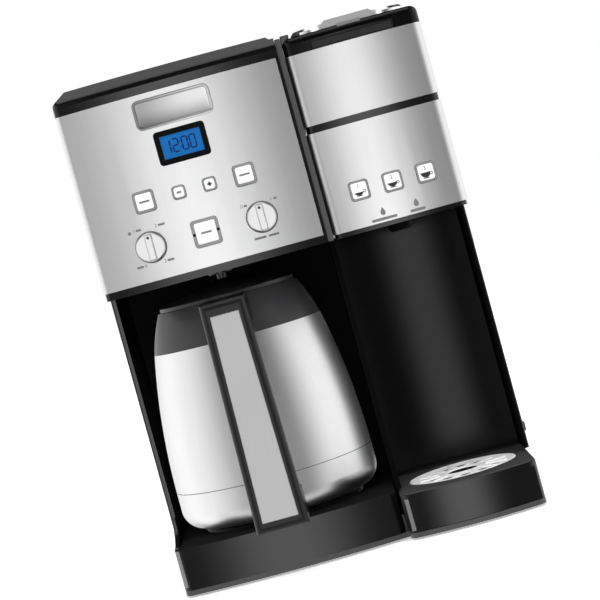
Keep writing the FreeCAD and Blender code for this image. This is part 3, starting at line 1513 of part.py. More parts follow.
def carafe_shell():
    """Steel wall above the seam."""
    shell = Piece("carafe_shell")
    shell.turn(Outline(
        ("carafe_radius - carafe_wall", "carafe_seam", "-carafe_bow"),
        ("carafe_radius", "carafe_seam"),
        ("steel_top_radius", "steel_top", "carafe_bow"),
        ("steel_top_radius - carafe_wall", "steel_top"),
    ))
    shell.place("carafe_x", "carafe_y")


def carafe_base():
    """Steel cap below the seam."""
    outer = carafe_wall_points("0")
    inner = carafe_wall_points("carafe_wall")
    base = Piece("carafe_base")
    base.turn(Outline(
        *outer[:4],
        inner[3][:2],
        inner[2][:2],
        inner[1],
        inner[0],
    ))
    base.place("carafe_x", "carafe_y")


def carafe_liner():
    """Thin inner flask that lies against the wall and the base."""
    outer = carafe_wall_points("carafe_wall")
    inner = carafe_wall_points("carafe_wall + liner")
    flask = Piece("carafe_liner")
    flask.turn(Outline(
        *outer[:2],
        outer[2][:2],
        *outer[3:],
        inner[4][:2],
        (*inner[3][:2], "-carafe_bow"),
        inner[2][:2],
        *inner[1::-1],
    ))
    flask.place("carafe_x", "carafe_y")


def carafe_collar():
    """Plastic shoulder between the steel wall and the lid, bored for the pouring mouth."""
    collar = Piece("carafe_collar")
    collar.turn(Outline(
        ("steel_top_radius - carafe_wall - liner", "steel_top"),
        ("steel_top_radius", "steel_top"),
        ("collar_top_radius", "collar_top", "collar_bow"),
        ("mouth_radius", "collar_top"),
        ("mouth_radius", "mouth_low"),
    ))
    collar.place("carafe_x", "carafe_y")


def carafe_lid():
    low = "collar_top + slack"
    lid = Piece("carafe_lid")
    lid.turn(Outline(
        ("0", "stopper_low"),
        ("mouth_radius - slack", "stopper_low"),
        ("mouth_radius - slack", low),
        ("lid_rim", low),
        ("lid_rim", f"{low} + lid_rim_height"),
        ("lid_crown", "lid_dome", "lid_rim_height / 2"),
        ("lid_dimple", "lid_dome - liner"),
        ("0", "lid_dome - liner"),
    ))
    lid.place("carafe_x", "carafe_y")


def tapered(foot, head, low, high):
    """Upright strip, wider at its foot."""
    return Outline(
        (f"-{foot} / 2", low),
        (f"{foot} / 2", low),
        (f"{head} / 2", high),
        (f"-{head} / 2", high),
    )


def carafe_handle():
    """Handle with a grip and two arms that seat on the carafe."""
    handle = Piece("carafe_handle")
    handle.pad("XZ", "-handle_front", "-mouth_radius", tapered(
        "handle_foot", "handle_head", "handle_low", "handle_high"))
    handle.round("handle_edge", {"y": "-handle_front"})
    grip = "-handle_front + handle_depth"
    handle.cut("YZ", "-handle_foot / 2", "handle_foot / 2", Outline(
        (grip, "handle_arm_low + handle_bend"),
        (f"{grip} + handle_bend", "handle_arm_low", f"handle_bend * {QUARTER}"),
        ("-mouth_radius", "handle_arm_low"),
        ("-mouth_radius", "handle_arm_high"),
        (f"{grip} + handle_bend", "handle_arm_high"),
        (grip, "handle_arm_high - handle_bend", f"handle_bend * {QUARTER}"),
    ))
    seat = carafe_wall_points("-seat_gap")
    handle.groove(Outline(
        ("0", "handle_low - carafe_wall"),
        ("rest_radius + 2 * slack", "handle_low - carafe_wall"),
        ("rest_radius + 2 * slack", f"{CARAFE_LOW} - seat_gap"),
        *seat[2:],
        ("collar_top_radius + seat_gap", "collar_top", "collar_bow"),
        ("collar_top_radius + seat_gap", "handle_high + carafe_wall"),
        ("0", "handle_high + carafe_wall"),
    ))
    handle.cut("XZ", "-handle_front", "-handle_front + insert_thick - insert_stand", tapered(
        "(insert_foot + 2 * seat_gap)", "(insert_head + 2 * seat_gap)",
        "insert_low - seat_gap", "insert_high + seat_gap"))
    handle.place("carafe_x", "carafe_y")


def handle_insert():
    strip = Piece("handle_insert")
    front = "-handle_front - insert_stand"
    strip.pad("XZ", front, f"{front} + insert_thick", tapered(
        "insert_foot", "insert_head", "insert_low", "insert_high"))
    strip.round("insert_edge", {"y": front})
    strip.place("carafe_x", "carafe_y")


def main():
    rubber_feet()
    bottom_cover()
    base_housing()
    housing_screws()
    drip_tray()
    drip_plate()
    carafe_plate()
    heater()
    left_side_panel()
    right_side_panel()
    divider_panel()
    bay_back_panel()
    tower_front_panel()
    rear_panel()
    cord_gland()
    head_housing()
    control_panel()
    for label, (shift, height, side) in BUTTONS.items():
        panel_button(label, f"control_x + {shift}", height, side, panel_face(shift), PANEL_FACE)
    knob("left_knob", "-knob_reach")
    knob("right_knob", "knob_reach")
    display_bezel()
    display_window()
    reservoir_lid()
    water_tank()
    shower_head()
    basket_holder()
    filter_basket()
    drip_stop_valve()
    group("water_hoses", [riser_hose(), feed_hose()])
    pump()
    boiler()
    lower_fascia()
    brew_head_housing()
    for label, centre in CUP_BUTTONS.items():
        panel_button(label, centre, "lower_row", "cup_button", pod_face(centre), POD_FACE)
    group("circuit_boards", [control_board(), cup_board()])
    brew_deck()
    pod_holder()
    brew_spout()
    brew_lid_shell()
    steel_wrap("brew_lid_band", "band_low", "band_top")
    brew_lid_cap()
    brew_lid_trim()
    inlet_needle()
    needle_seal()
    hinge_pins()
    side_tank()
    side_tank_lid()
    carafe_shell()
    carafe_base()
    carafe_liner()
    carafe_collar()
    carafe_lid()
    carafe_handle()
    handle_insert()
    write()


def write():
    """Check every object, then write each sub-part."""
    doc.recompute()
    for item in doc.Objects:
        if "Invalid" in item.State or "Error" in item.State:
            raise ValueError(f"{item.Label} failed: {item.State}")
    os.makedirs("parts", exist_ok=True)
    for piece in pieces:
        if piece.Shape.isNull() or not piece.Shape.isValid():
            raise ValueError(f"{piece.Label} has no valid shape")
        piece.Shape.exportStep(f"parts/{piece.Label}.step")
        print(piece.Label, len(piece.Shape.Solids), round(piece.Shape.Volume))


main()
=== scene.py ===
"""Looks of a drip coffee maker with a single-cup brewer beside it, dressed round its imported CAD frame."""

import json
import logging
import math
from dataclasses import dataclass
from enum import Enum
from typing import Callable, Sequence

import bpy
from mathutils import Matrix, Vector


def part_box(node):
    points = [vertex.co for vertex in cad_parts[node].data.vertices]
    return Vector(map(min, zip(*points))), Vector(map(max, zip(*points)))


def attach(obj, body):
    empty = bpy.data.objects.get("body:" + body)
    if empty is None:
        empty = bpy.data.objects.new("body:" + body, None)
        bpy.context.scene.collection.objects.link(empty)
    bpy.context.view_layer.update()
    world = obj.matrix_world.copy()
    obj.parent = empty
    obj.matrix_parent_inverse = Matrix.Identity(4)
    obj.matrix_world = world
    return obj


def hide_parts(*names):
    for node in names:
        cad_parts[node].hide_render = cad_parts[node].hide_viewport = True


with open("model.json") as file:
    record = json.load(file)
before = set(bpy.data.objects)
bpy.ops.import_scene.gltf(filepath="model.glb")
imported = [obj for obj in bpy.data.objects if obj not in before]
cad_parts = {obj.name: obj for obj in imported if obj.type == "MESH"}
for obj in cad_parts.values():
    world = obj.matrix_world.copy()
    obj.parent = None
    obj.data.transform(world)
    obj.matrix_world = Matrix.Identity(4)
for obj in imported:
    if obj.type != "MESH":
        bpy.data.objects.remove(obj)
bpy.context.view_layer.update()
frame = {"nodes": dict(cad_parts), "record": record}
MM = 0.001
LOG = logging.getLogger("coffee_maker")
WHITE = (1.0, 1.0, 1.0, 1.0)
Colour = tuple[float, float, float]
Point = tuple[float, float, float]
Span = tuple[float, float]


def metres(*sizes: float) -> Vector:
    """Gives three sizes in millimetres as a vector in metres."""
    return Vector(sizes) * MM


class Signal:
    """One output socket of a node tree, with operators that add Math nodes."""

    def __init__(self, tree: "FinishTree", socket: bpy.types.NodeSocket | None) -> None:
        """Keeps the tree that new nodes go into and the socket itself."""
        self.tree = tree
        self.socket = socket

    def maths(self, operation: str, *values: "float | Signal") -> "Signal":
        """Adds one Math node on the values and gives its result."""
        return self.tree.node("ShaderNodeMath", {"operation": operation}, dict(enumerate(values)))

    def __add__(self, other: "float | Signal") -> "Signal":
        """Adds."""
        return self.maths("ADD", self, other)

    __radd__ = __add__

    def __sub__(self, other: "float | Signal") -> "Signal":
        """Takes away."""
        return self.maths("SUBTRACT", self, other)

    def __rsub__(self, other: "float | Signal") -> "Signal":
        """Is taken away."""
        return self.maths("SUBTRACT", other, self)

    def __mul__(self, other: "float | Signal") -> "Signal":
        """Multiplies."""
        return self.maths("MULTIPLY", self, other)

    __rmul__ = __mul__

    def __abs__(self) -> "Signal":
        """Drops the sign."""
        return self.maths("ABSOLUTE", self)

    def falling(self, start: float, end: float) -> "Signal":
        """Gives 1 below start, 0 above end and a soft step between."""
        return self.tree.node("ShaderNodeMapRange", {"interpolation_type": "SMOOTHSTEP"}, {
            "Value": self, "From Min": start, "From Max": end, "To Min": 1.0, "To Max": 0.0})


class FinishTree:
    """The node tree of one material or of the world."""

    def __init__(self, owner: bpy.types.Material | bpy.types.World) -> None:
        """Empties the owner's tree.

        Args:
            owner: the material or world that the nodes belong to.
        """
        owner.use_nodes = True
        self.tree = owner.node_tree
        self.tree.nodes.clear()

    def node(self, kind: str, settings: dict | None = None, sockets: dict | None = None,
             output: int | str = 0) -> Signal:
        """Adds a node.

        Args:
            kind: the node's type.
            settings: what is set on the node first, with a ramp's stops as (place, grey) pairs.
            sockets: the values or links of its inputs, by name or number.
            output: the output that is given back.

        Returns:
            The chosen output, or an empty signal of a node that has none.
        """
        made = self.tree.nodes.new(kind)
        for name, value in (settings or {}).items():
            if name == "stops":
                ramp = made.color_ramp.elements
                while len(ramp) < len(value):
                    ramp.new(0.5)
                for stop, (place, grey) in zip(ramp, value):
                    stop.position = place
                    stop.color = (grey, grey, grey, 1.0)
            else:
                setattr(made, name, value)
        for key, value in (sockets or {}).items():
            if isinstance(value, Signal):
                self.tree.links.new(value.socket, made.inputs[key])
            else:
                made.inputs[key].default_value = value
        return Signal(self, made.outputs[output] if made.outputs else None)

    def place(self, scale: Point = (1.0, 1.0, 1.0)) -> Signal:
        """Gives Object coordinates, stretched along each axis by the scale."""
        here = self.node("ShaderNodeTexCoord", output="Object")
        return self.node("ShaderNodeMapping", None, {"Vector": here, "Scale": scale})

    def noise(self, vector: Signal, scale: float, detail: float = 3.0) -> Signal:
        """Gives soft noise about one half."""
        return self.node("ShaderNodeTexNoise", None, {"Vector": vector, "Scale": scale, "Detail": detail})

    def mixed(self, share: Signal, first: Colour, second: Colour) -> Signal:
        """Mixes two colours by a share."""
        return self.node("ShaderNodeMix", {"data_type": "RGBA"},
                         {0: share, 6: (*first, 1.0), 7: (*second, 1.0)}, 2)

    def varied(self, share: Signal, colour: Colour, dark: float, light: float) -> Signal:
        """Gives a colour that drifts between a darker and a lighter tone of itself."""
        return self.mixed(share, shaded(colour, dark), shaded(colour, light))

    def axes(self, vector: Signal) -> tuple[Signal, ...]:
        """Gives the three coordinates of a vector."""
        split = self.node("ShaderNodeSeparateXYZ", None, {0: vector}).socket.node
        return tuple(Signal(self, split.outputs[axis]) for axis in "XYZ")

    def bump(self, strength: float, depth: float, height: Signal) -> Signal:
        """Gives a relief with a depth in millimetres."""
        return self.node("ShaderNodeBump", None, {
            "Strength": strength, "Distance": depth * MM, "Height": height})

    def surface(self, sockets: dict) -> Signal:
        """Gives a Principled shader."""
        return self.node("ShaderNodeBsdfPrincipled", None, sockets)


def shaded(colour: Colour, factor: float) -> Colour:
    """Gives a colour made lighter or darker by a factor."""
    return tuple(min(1.0, part * factor) for part in colour)


@dataclass(frozen=True)
class Finish:
    """A surface finish, made into one material on first use."""

    label: str
    colour: Colour
    roughness: float

    def material(self) -> bpy.types.Material:
        """Gives the finish's material.

        Returns:
            The material with this finish's label, made if it isn't there yet.
        """
        known = bpy.data.materials.get(self.label)
        if known:
            return known
        made = bpy.data.materials.new(self.label)
        made.diffuse_color = (*self.colour, 1.0)
        tree = FinishTree(made)
        tree.node("ShaderNodeOutputMaterial", None, {"Surface": self.shade(tree)})
        return made

    def shade(self, tree: FinishTree) -> Signal:
        """Gives the finish's shader; each kind of finish has its own."""
        raise NotImplementedError


@dataclass(frozen=True)
class MouldedPlastic(Finish):
    """Plastic from a polished or textured mould, with flow clouds and a fine grain."""

    grain: float = 0.02
    grain_scale: float = 1400.0
    grain_depth: float = 0.4
    cloud_scale: float = 14.0
    spread: float = 0.04
    gloss: float = 0.5
    tones: Span = (0.88, 1.12)

    def grains(self, tree: FinishTree) -> Signal:
        """Gives the pattern of the skin's grain."""
        return tree.noise(tree.place(), self.grain_scale, 2.0)

    def shade(self, tree: FinishTree) -> Signal:
        """Gives a plastic whose colour and gloss drift a little and whose skin has a grain.

        Args:
            tree: the material's node tree.

        Returns:
            The shader.
        """
        cloud = tree.noise(tree.place(), self.cloud_scale)
        return tree.surface({
            "Base Color": tree.varied(cloud, self.colour, *self.tones),
            "Roughness": self.roughness + (cloud - 0.5) * self.spread, "Specular IOR Level": self.gloss,
            "Normal": tree.bump(self.grain, self.grain_depth, self.grains(tree))})


@dataclass(frozen=True)
class PartedPlastic(MouldedPlastic):
    """Plastic with a polished skin outside and a matt textured one elsewhere."""

    matt_colour: Colour = (0.012, 0.012, 0.0125)
    matt_grain: float = 0.2
    matt_roughness: float = 0.7
    matt_tones: Span = (0.8, 1.2)

    @staticmethod
    def below(place: Signal, limit: float, border: float = 0.2) -> Signal:
        """Gives 1 where a coordinate lies below a limit in millimetres, with a soft border under it."""
        return place.falling((limit - border) * MM, limit * MM)

    def polished(self, x: Signal, y: Signal, z: Signal) -> Signal:
        """Gives the share of the polished skin at a place; each kind of piece has its own."""
        raise NotImplementedError

    def shade(self, tree: FinishTree) -> Signal:
        """Gives both skins, mixed by the place on the piece.

        Args:
            tree: the material's node tree.

        Returns:
            The shader.
        """
        outside = super().shade(tree)
        share = self.polished(*tree.axes(tree.place()))
        grain = self.grains(tree)
        matt = tree.surface({
            "Base Color": tree.varied(grain, self.matt_colour, *self.matt_tones),
            "Roughness": self.matt_roughness, "Specular IOR Level": 0.0,
            "Normal": tree.bump(self.matt_grain, self.grain_depth, grain)})
        return tree.node("ShaderNodeMixShader", None, {0: share, 1: matt, 2: outside})


@dataclass(frozen=True)
class DeckedPlastic(PartedPlastic):
    """A base with a polished front and a matt deck behind and above it."""

    front: float = -100.0
    top: float = 39.4

    def polished(self, x: Signal, y: Signal, z: Signal) -> Signal:
        """Gives 1 in front of the deck and below it."""
        return self.below(y, self.front) * self.below(z, self.top)


@dataclass(frozen=True)
class WallPlastic(PartedPlastic):
    """An upright side wall that is polished on its outer face and front edge and matt inside."""

    face: float = 147.2
    front: float = -58.0
    foot: float = 62.0
    foot_border: float = 2.0

    def polished(self, x: Signal, y: Signal, z: Signal) -> Signal:
        """Finds the polished skin on the outer face and on the front edge over the foot.

        Args:
            x: place across.
            y: place in depth.
            z: place in height.

        Returns:
            1 on the polished skin and 0 on the matt one.
        """
        outer = 1.0 - self.below(abs(x), self.face)
        over = 1.0 - self.below(z, self.foot, self.foot_border)
        return outer.maths("MAXIMUM", outer, over * self.below(y, self.front))


@dataclass(frozen=True)
class ColumnPlastic(PartedPlastic):
    """An upright wall that is satin beside the two heads and matt below them."""

    low: float = 246.0

    def polished(self, x: Signal, y: Signal, z: Signal) -> Signal:
        """Gives 1 above the underside of the heads."""
        return 1.0 - self.below(z, self.low)


@dataclass(frozen=True)
class BrushedMetal(Finish):
    """Metal with fine streaks, which run upright unless their scale says otherwise."""

    streak: float = 0.03
    streak_scale: Point = (900.0, 900.0, 5.0)
    streak_depth: float = 0.3
    spread: float = 0.05
    cloud_scale: float = 11.0
    cloud_spread: float = 0.03
    tones: Span = (0.96, 1.04)

    def streaks(self, tree: FinishTree) -> Signal:
        """Gives the pattern of the streaks."""
        return tree.noise(tree.place(self.streak_scale), 1.0, 4.0)

    def shade(self, tree: FinishTree) -> Signal:
        """Gives a metal with streaks in its colour, gloss and relief.

        Args:
            tree: the material's node tree.

        Returns:
            The shader.
        """
        streaks = self.streaks(tree)
        cloud = tree.noise(tree.place(), self.cloud_scale)
        return tree.surface({
            "Base Color": tree.varied(streaks, self.colour, *self.tones), "Metallic": 1.0,
            "Roughness": self.roughness + (streaks - 0.5) * self.spread + (cloud - 0.5) * self.cloud_spread,
            "Normal": tree.bump(self.streak, self.streak_depth, streaks)})


@dataclass(frozen=True)
class PartedMetal(BrushedMetal):
    """Metal with a second tone about a place across the piece: a satin grip on bright plating, or a painted
    reflection that lightens a plate towards one side.
    """

    second: Colour = (0.31, 0.31, 0.315)
    middle: float = 94.5
    half: float = 24.5
    soft: float = 2.5
    rougher: float = 0.22

    def shade(self, tree: FinishTree) -> Signal:
        """Gives the second tone near the place and the first one beyond it.

        Args:
            tree: the material's node tree.

        Returns:
            The shader.
        """
        x, _, _ = tree.axes(tree.place())
        share = abs(x - self.middle * MM).falling((self.half - self.soft) * MM, (self.half + self.soft) * MM)
        streaks = self.streaks(tree)
        return tree.surface({
            "Base Color": tree.mixed(share, self.colour, self.second), "Metallic": 1.0,
            "Roughness": self.roughness + share * self.rougher + (streaks - 0.5) * self.spread})


@dataclass(frozen=True)
class LitScreen(Finish):
    """A backlit display film with faint uneven light."""

    glow: float = 0.2
    gloss: float = 0.1
    cloud_scale: float = 60.0
    spread: float = 0.04
    tones: Span = (0.8, 1.2)

    def shade(self, tree: FinishTree) -> Signal:
        """Gives a glowing film whose light drifts a little.

        Args:
            tree: the material's node tree.

        Returns:
            The shader.
        """
        cloud = tree.noise(tree.place(), self.cloud_scale)
        light = tree.varied(cloud, self.colour, *self.tones)
        return tree.surface({
            "Base Color": light, "Roughness": self.roughness + (cloud - 0.5) * self.spread,
            "Specular IOR Level": self.gloss, "Emission Color": light, "Emission Strength": self.glow})


@dataclass(frozen=True)
class ClearPlastic(Finish):
    """Tinted see-through plastic with faint flow marks."""

    index: float = 1.49
    clearness: float = 0.92
    haze_scale: float = 24.0
    spread: float = 0.05
    tones: Span = (0.95, 1.05)

    def shade(self, tree: FinishTree) -> Signal:
        """Gives a clear plastic with a trace of haze.

        Args:
            tree: the material's node tree.

        Returns:
            The shader.
        """
        haze = tree.noise(tree.place(), self.haze_scale)
        return tree.surface({
            "Base Color": tree.varied(haze, self.colour, *self.tones),
            "Roughness": self.roughness + (haze - 0.5) * self.spread, "IOR": self.index,
            "Transmission Weight": self.clearness})


@dataclass(frozen=True)
class TrackedBoard(Finish):
    """A circuit board with copper tracks under its lacquer."""

    scale: float = 190.0
    gap: float = 0.06
    smoother: float = 0.1
    relief: Span = (0.3, 0.2)
    tones: Span = (1.0, 2.2)

    def shade(self, tree: FinishTree) -> Signal:
        """Gives a lacquered board whose tracks stand a little proud.

        Args:
            tree: the material's node tree.

        Returns:
            The shader.
        """
        tracks = tree.node("ShaderNodeTexBrick", None, {
            "Vector": tree.place(), "Scale": self.scale, "Mortar Size": self.gap}, "Fac")
        return tree.surface({
            "Base Color": tree.varied(tracks, self.colour, *self.tones),
            "Roughness": self.roughness - self.smoother * tracks, "Normal": tree.bump(*self.relief, tracks)})


@dataclass(frozen=True)
class WovenMesh(Finish):
    """Fine filter mesh of crossed threads."""

    scale: float = 190.476
    rougher: float = 0.1
    relief: Span = (0.5, 0.3)
    tones: Span = (0.4, 1.3)

    def shade(self, tree: FinishTree) -> Signal:
        """Gives a dark weave whose threads stand proud of its gaps.

        Args:
            tree: the material's node tree.

        Returns:
            The shader.
        """
        sockets = {"Vector": tree.place(), "Scale": self.scale}
        level, slanted = (tree.node("ShaderNodeTexWave", {"bands_direction": run}, sockets)
                          for run in ("Z", "DIAGONAL"))
        threads = level.maths("MAXIMUM", level, slanted)
        return tree.surface({
            "Base Color": tree.varied(threads, self.colour, *self.tones),
            "Roughness": self.roughness + self.rougher * threads, "Normal": tree.bump(*self.relief, threads)})


DEEP_BLACK: Colour = (0.0035, 0.0035, 0.004)
PLATED: Colour = (0.80, 0.80, 0.81)
POLISH: dict[str, float] = {"roughness": 0.14, "grain": 0.006, "gloss": 0.42}
PRINT: dict[str, float] = {"roughness": 0.5, "grain": 0.02, "gloss": 0.2}


class Palette(Enum):
    """Every finish of the object."""

    BLACK = MouldedPlastic("polished_black_moulding", DEEP_BLACK, **POLISH)
    BLACK_SATIN = MouldedPlastic("satin_black_moulding", (0.008, 0.008, 0.0085), 0.34, grain=0.05, gloss=0.25)
    BLACK_SOFT = MouldedPlastic("soft_black_moulding", (0.0016, 0.0016, 0.0018), 0.2, grain=0.02, gloss=0.2)
    CHARCOAL = MouldedPlastic("charcoal_moulding", (0.034, 0.034, 0.036), 0.36, grain=0.08, gloss=0.35)
    PLINTH = MouldedPlastic("grey_plinth_moulding", (0.05, 0.05, 0.052), 0.42, grain=0.08)
    COLUMN = MouldedPlastic("column_moulding", (0.05, 0.05, 0.052), 0.30, grain=0.04)
    DECK = DeckedPlastic("decked_black_moulding", DEEP_BLACK, **POLISH)
    TRAY_DECK = DeckedPlastic("decked_tray_moulding", DEEP_BLACK, **POLISH, matt_colour=(0.05, 0.05, 0.051),
                              front=-110.0, top=37.4)
    WALL = WallPlastic("side_wall_moulding", DEEP_BLACK, **POLISH, matt_colour=(0.004, 0.004, 0.0042))
    RIGHT_WALL = WallPlastic("right_wall_moulding", DEEP_BLACK, **POLISH, matt_colour=(0.003, 0.003, 0.0032),
                             front=-400.0)
    DIVIDER = ColumnPlastic("divider_moulding", (0.028, 0.028, 0.029), 0.30, grain=0.04,
                            matt_colour=(0.004, 0.004, 0.0042))
    # Pale grey for the tab under the single-cup lid's grip, and for the painted highlights on the left
    # corners of the base and the tray.
    STRIP = MouldedPlastic("pale_tab_and_painted_corner_highlight", (0.16, 0.16, 0.163), 0.34, grain=0.03)
    STEEL = BrushedMetal("brushed_sheet_steel", (0.71, 0.71, 0.715), 0.375)
    CARAFE_STEEL = BrushedMetal("satin_turned_steel", (0.74, 0.74, 0.745), 0.36, streak=0.015)
    BRIGHT = BrushedMetal("bright_plated_trim", PLATED, 0.12, streak=0.01)
    GRIP = PartedMetal("grip_plated_trim", PLATED, 0.12)
    PLATE = MouldedPlastic("silver_plate_lacquer", (0.93, 0.93, 0.935), 0.42, grain=0.05)
    INSERT = BrushedMetal("satin_handle_steel", (0.43, 0.43, 0.435), 0.40, streak=0.02)
    BUTTON = MouldedPlastic("silver_key_plastic", (0.86, 0.86, 0.87), 0.34, grain=0.01)
    KEY_RIM = MouldedPlastic("key_rim_plating", (0.24, 0.24, 0.243), 0.4, grain=0.02, gloss=0.3)
    DIAL = BrushedMetal("silver_dial_lacquer", (0.62, 0.62, 0.625), 0.36, streak=0.02)
    INK = MouldedPlastic("printed_ink", (0.03, 0.03, 0.032), **PRINT)
    GREY_INK = MouldedPlastic("grey_printed_ink", (0.17, 0.17, 0.173), **PRINT)
    # Dark grey for the carafe's seam, a real dark joint, and for the rings of painted shade round the dials.
    GASKET = MouldedPlastic("dark_seam_and_dial_edge_shade", (0.12, 0.12, 0.122), 0.4, grain=0.03, gloss=0.2)
    # Painted reflection: the plate's colour runs from dark on its left to light on its right, in place of a
    # reflection.
    BADGE = PartedMetal("dished_plate_painted_reflection", (0.27, 0.27, 0.273), 0.34, second=(0.62, 0.62, 0.625),
                        middle=-25.0, half=34.0, soft=30.0, rougher=0.0)
    BEZEL = MouldedPlastic("matt_bezel_moulding", DEEP_BLACK, 0.5, grain=0.03, gloss=0.04)
    SEGMENT = MouldedPlastic("display_segment", (0.003, 0.016, 0.10), 0.4, grain=0.01, gloss=0.1)
    SCREEN = LitScreen("blue_display_film", (0.003, 0.095, 0.30), 0.3)
    CLEAR = ClearPlastic("smoke_clear_moulding", (0.35, 0.35, 0.37), 0.06)
    RUBBER = MouldedPlastic("foot_rubber", (0.02, 0.02, 0.02), 0.75, grain=0.3, grain_scale=700.0)
    ALUMINIUM = BrushedMetal("cast_aluminium_skin", (0.68, 0.68, 0.69), 0.45,
                             streak_scale=(500.0, 500.0, 500.0))
    BOARD = TrackedBoard("lacquered_board", (0.012, 0.12, 0.04), 0.4)
    SILICONE = MouldedPlastic("milky_hose_silicone", (0.62, 0.62, 0.59), 0.5, grain=0.05)
    NATURAL = MouldedPlastic("natural_moulding", (0.68, 0.68, 0.65), 0.42, grain=0.04)
    ZINC = BrushedMetal("zinc_plated_steel", (0.42, 0.42, 0.43), 0.38, streak_scale=(300.0, 300.0, 300.0))
    FILTER = WovenMesh("filter_basket_weave", (0.05, 0.05, 0.05), 0.5)


SLOT_FINISHES: dict[str, Palette] = {
    "gloss_black": Palette.BLACK, "charcoal": Palette.CHARCOAL, "steel": Palette.STEEL,
    "chrome": Palette.BRIGHT, "silver_button": Palette.BUTTON, "screen": Palette.SCREEN,
    "smoke_clear": Palette.CLEAR, "rubber": Palette.RUBBER, "aluminium": Palette.ALUMINIUM,
    "board": Palette.BOARD, "silicone": Palette.SILICONE, "white_plastic": Palette.NATURAL,
    "screw_steel": Palette.ZINC, "mesh": Palette.FILTER,
}

OWN_FINISHES: dict[Palette, tuple[str, ...]] = {
    Palette.BEZEL: ("display_bezel", "bay_back_panel", "brew_spout", "carafe_plate"),
    Palette.BLACK_SOFT: ("tower_front_panel", "brew_lid_cap"),
    Palette.BLACK_SATIN: ("carafe_handle",), Palette.PLINTH: ("bottom_cover",),
    Palette.DECK: ("base_housing",), Palette.TRAY_DECK: ("drip_tray",), Palette.WALL: ("left_side_panel",),
    Palette.RIGHT_WALL: ("right_side_panel",), Palette.DIVIDER: ("divider_panel",),
    Palette.CARAFE_STEEL: ("carafe_shell", "carafe_base"), Palette.INSERT: ("handle_insert",),
    Palette.DIAL: ("left_knob", "right_knob"), Palette.GRIP: ("brew_lid_trim",),
}

SEEN_THROUGH: tuple[str, ...] = ("left_side_panel", "divider_panel", "right_side_panel", "base_housing")


def paint(piece: bpy.types.Object, finish: Palette) -> None:
    """Gives every face of a piece one finish."""
    piece.data.materials.clear()
    piece.data.materials.append(finish.value.material())


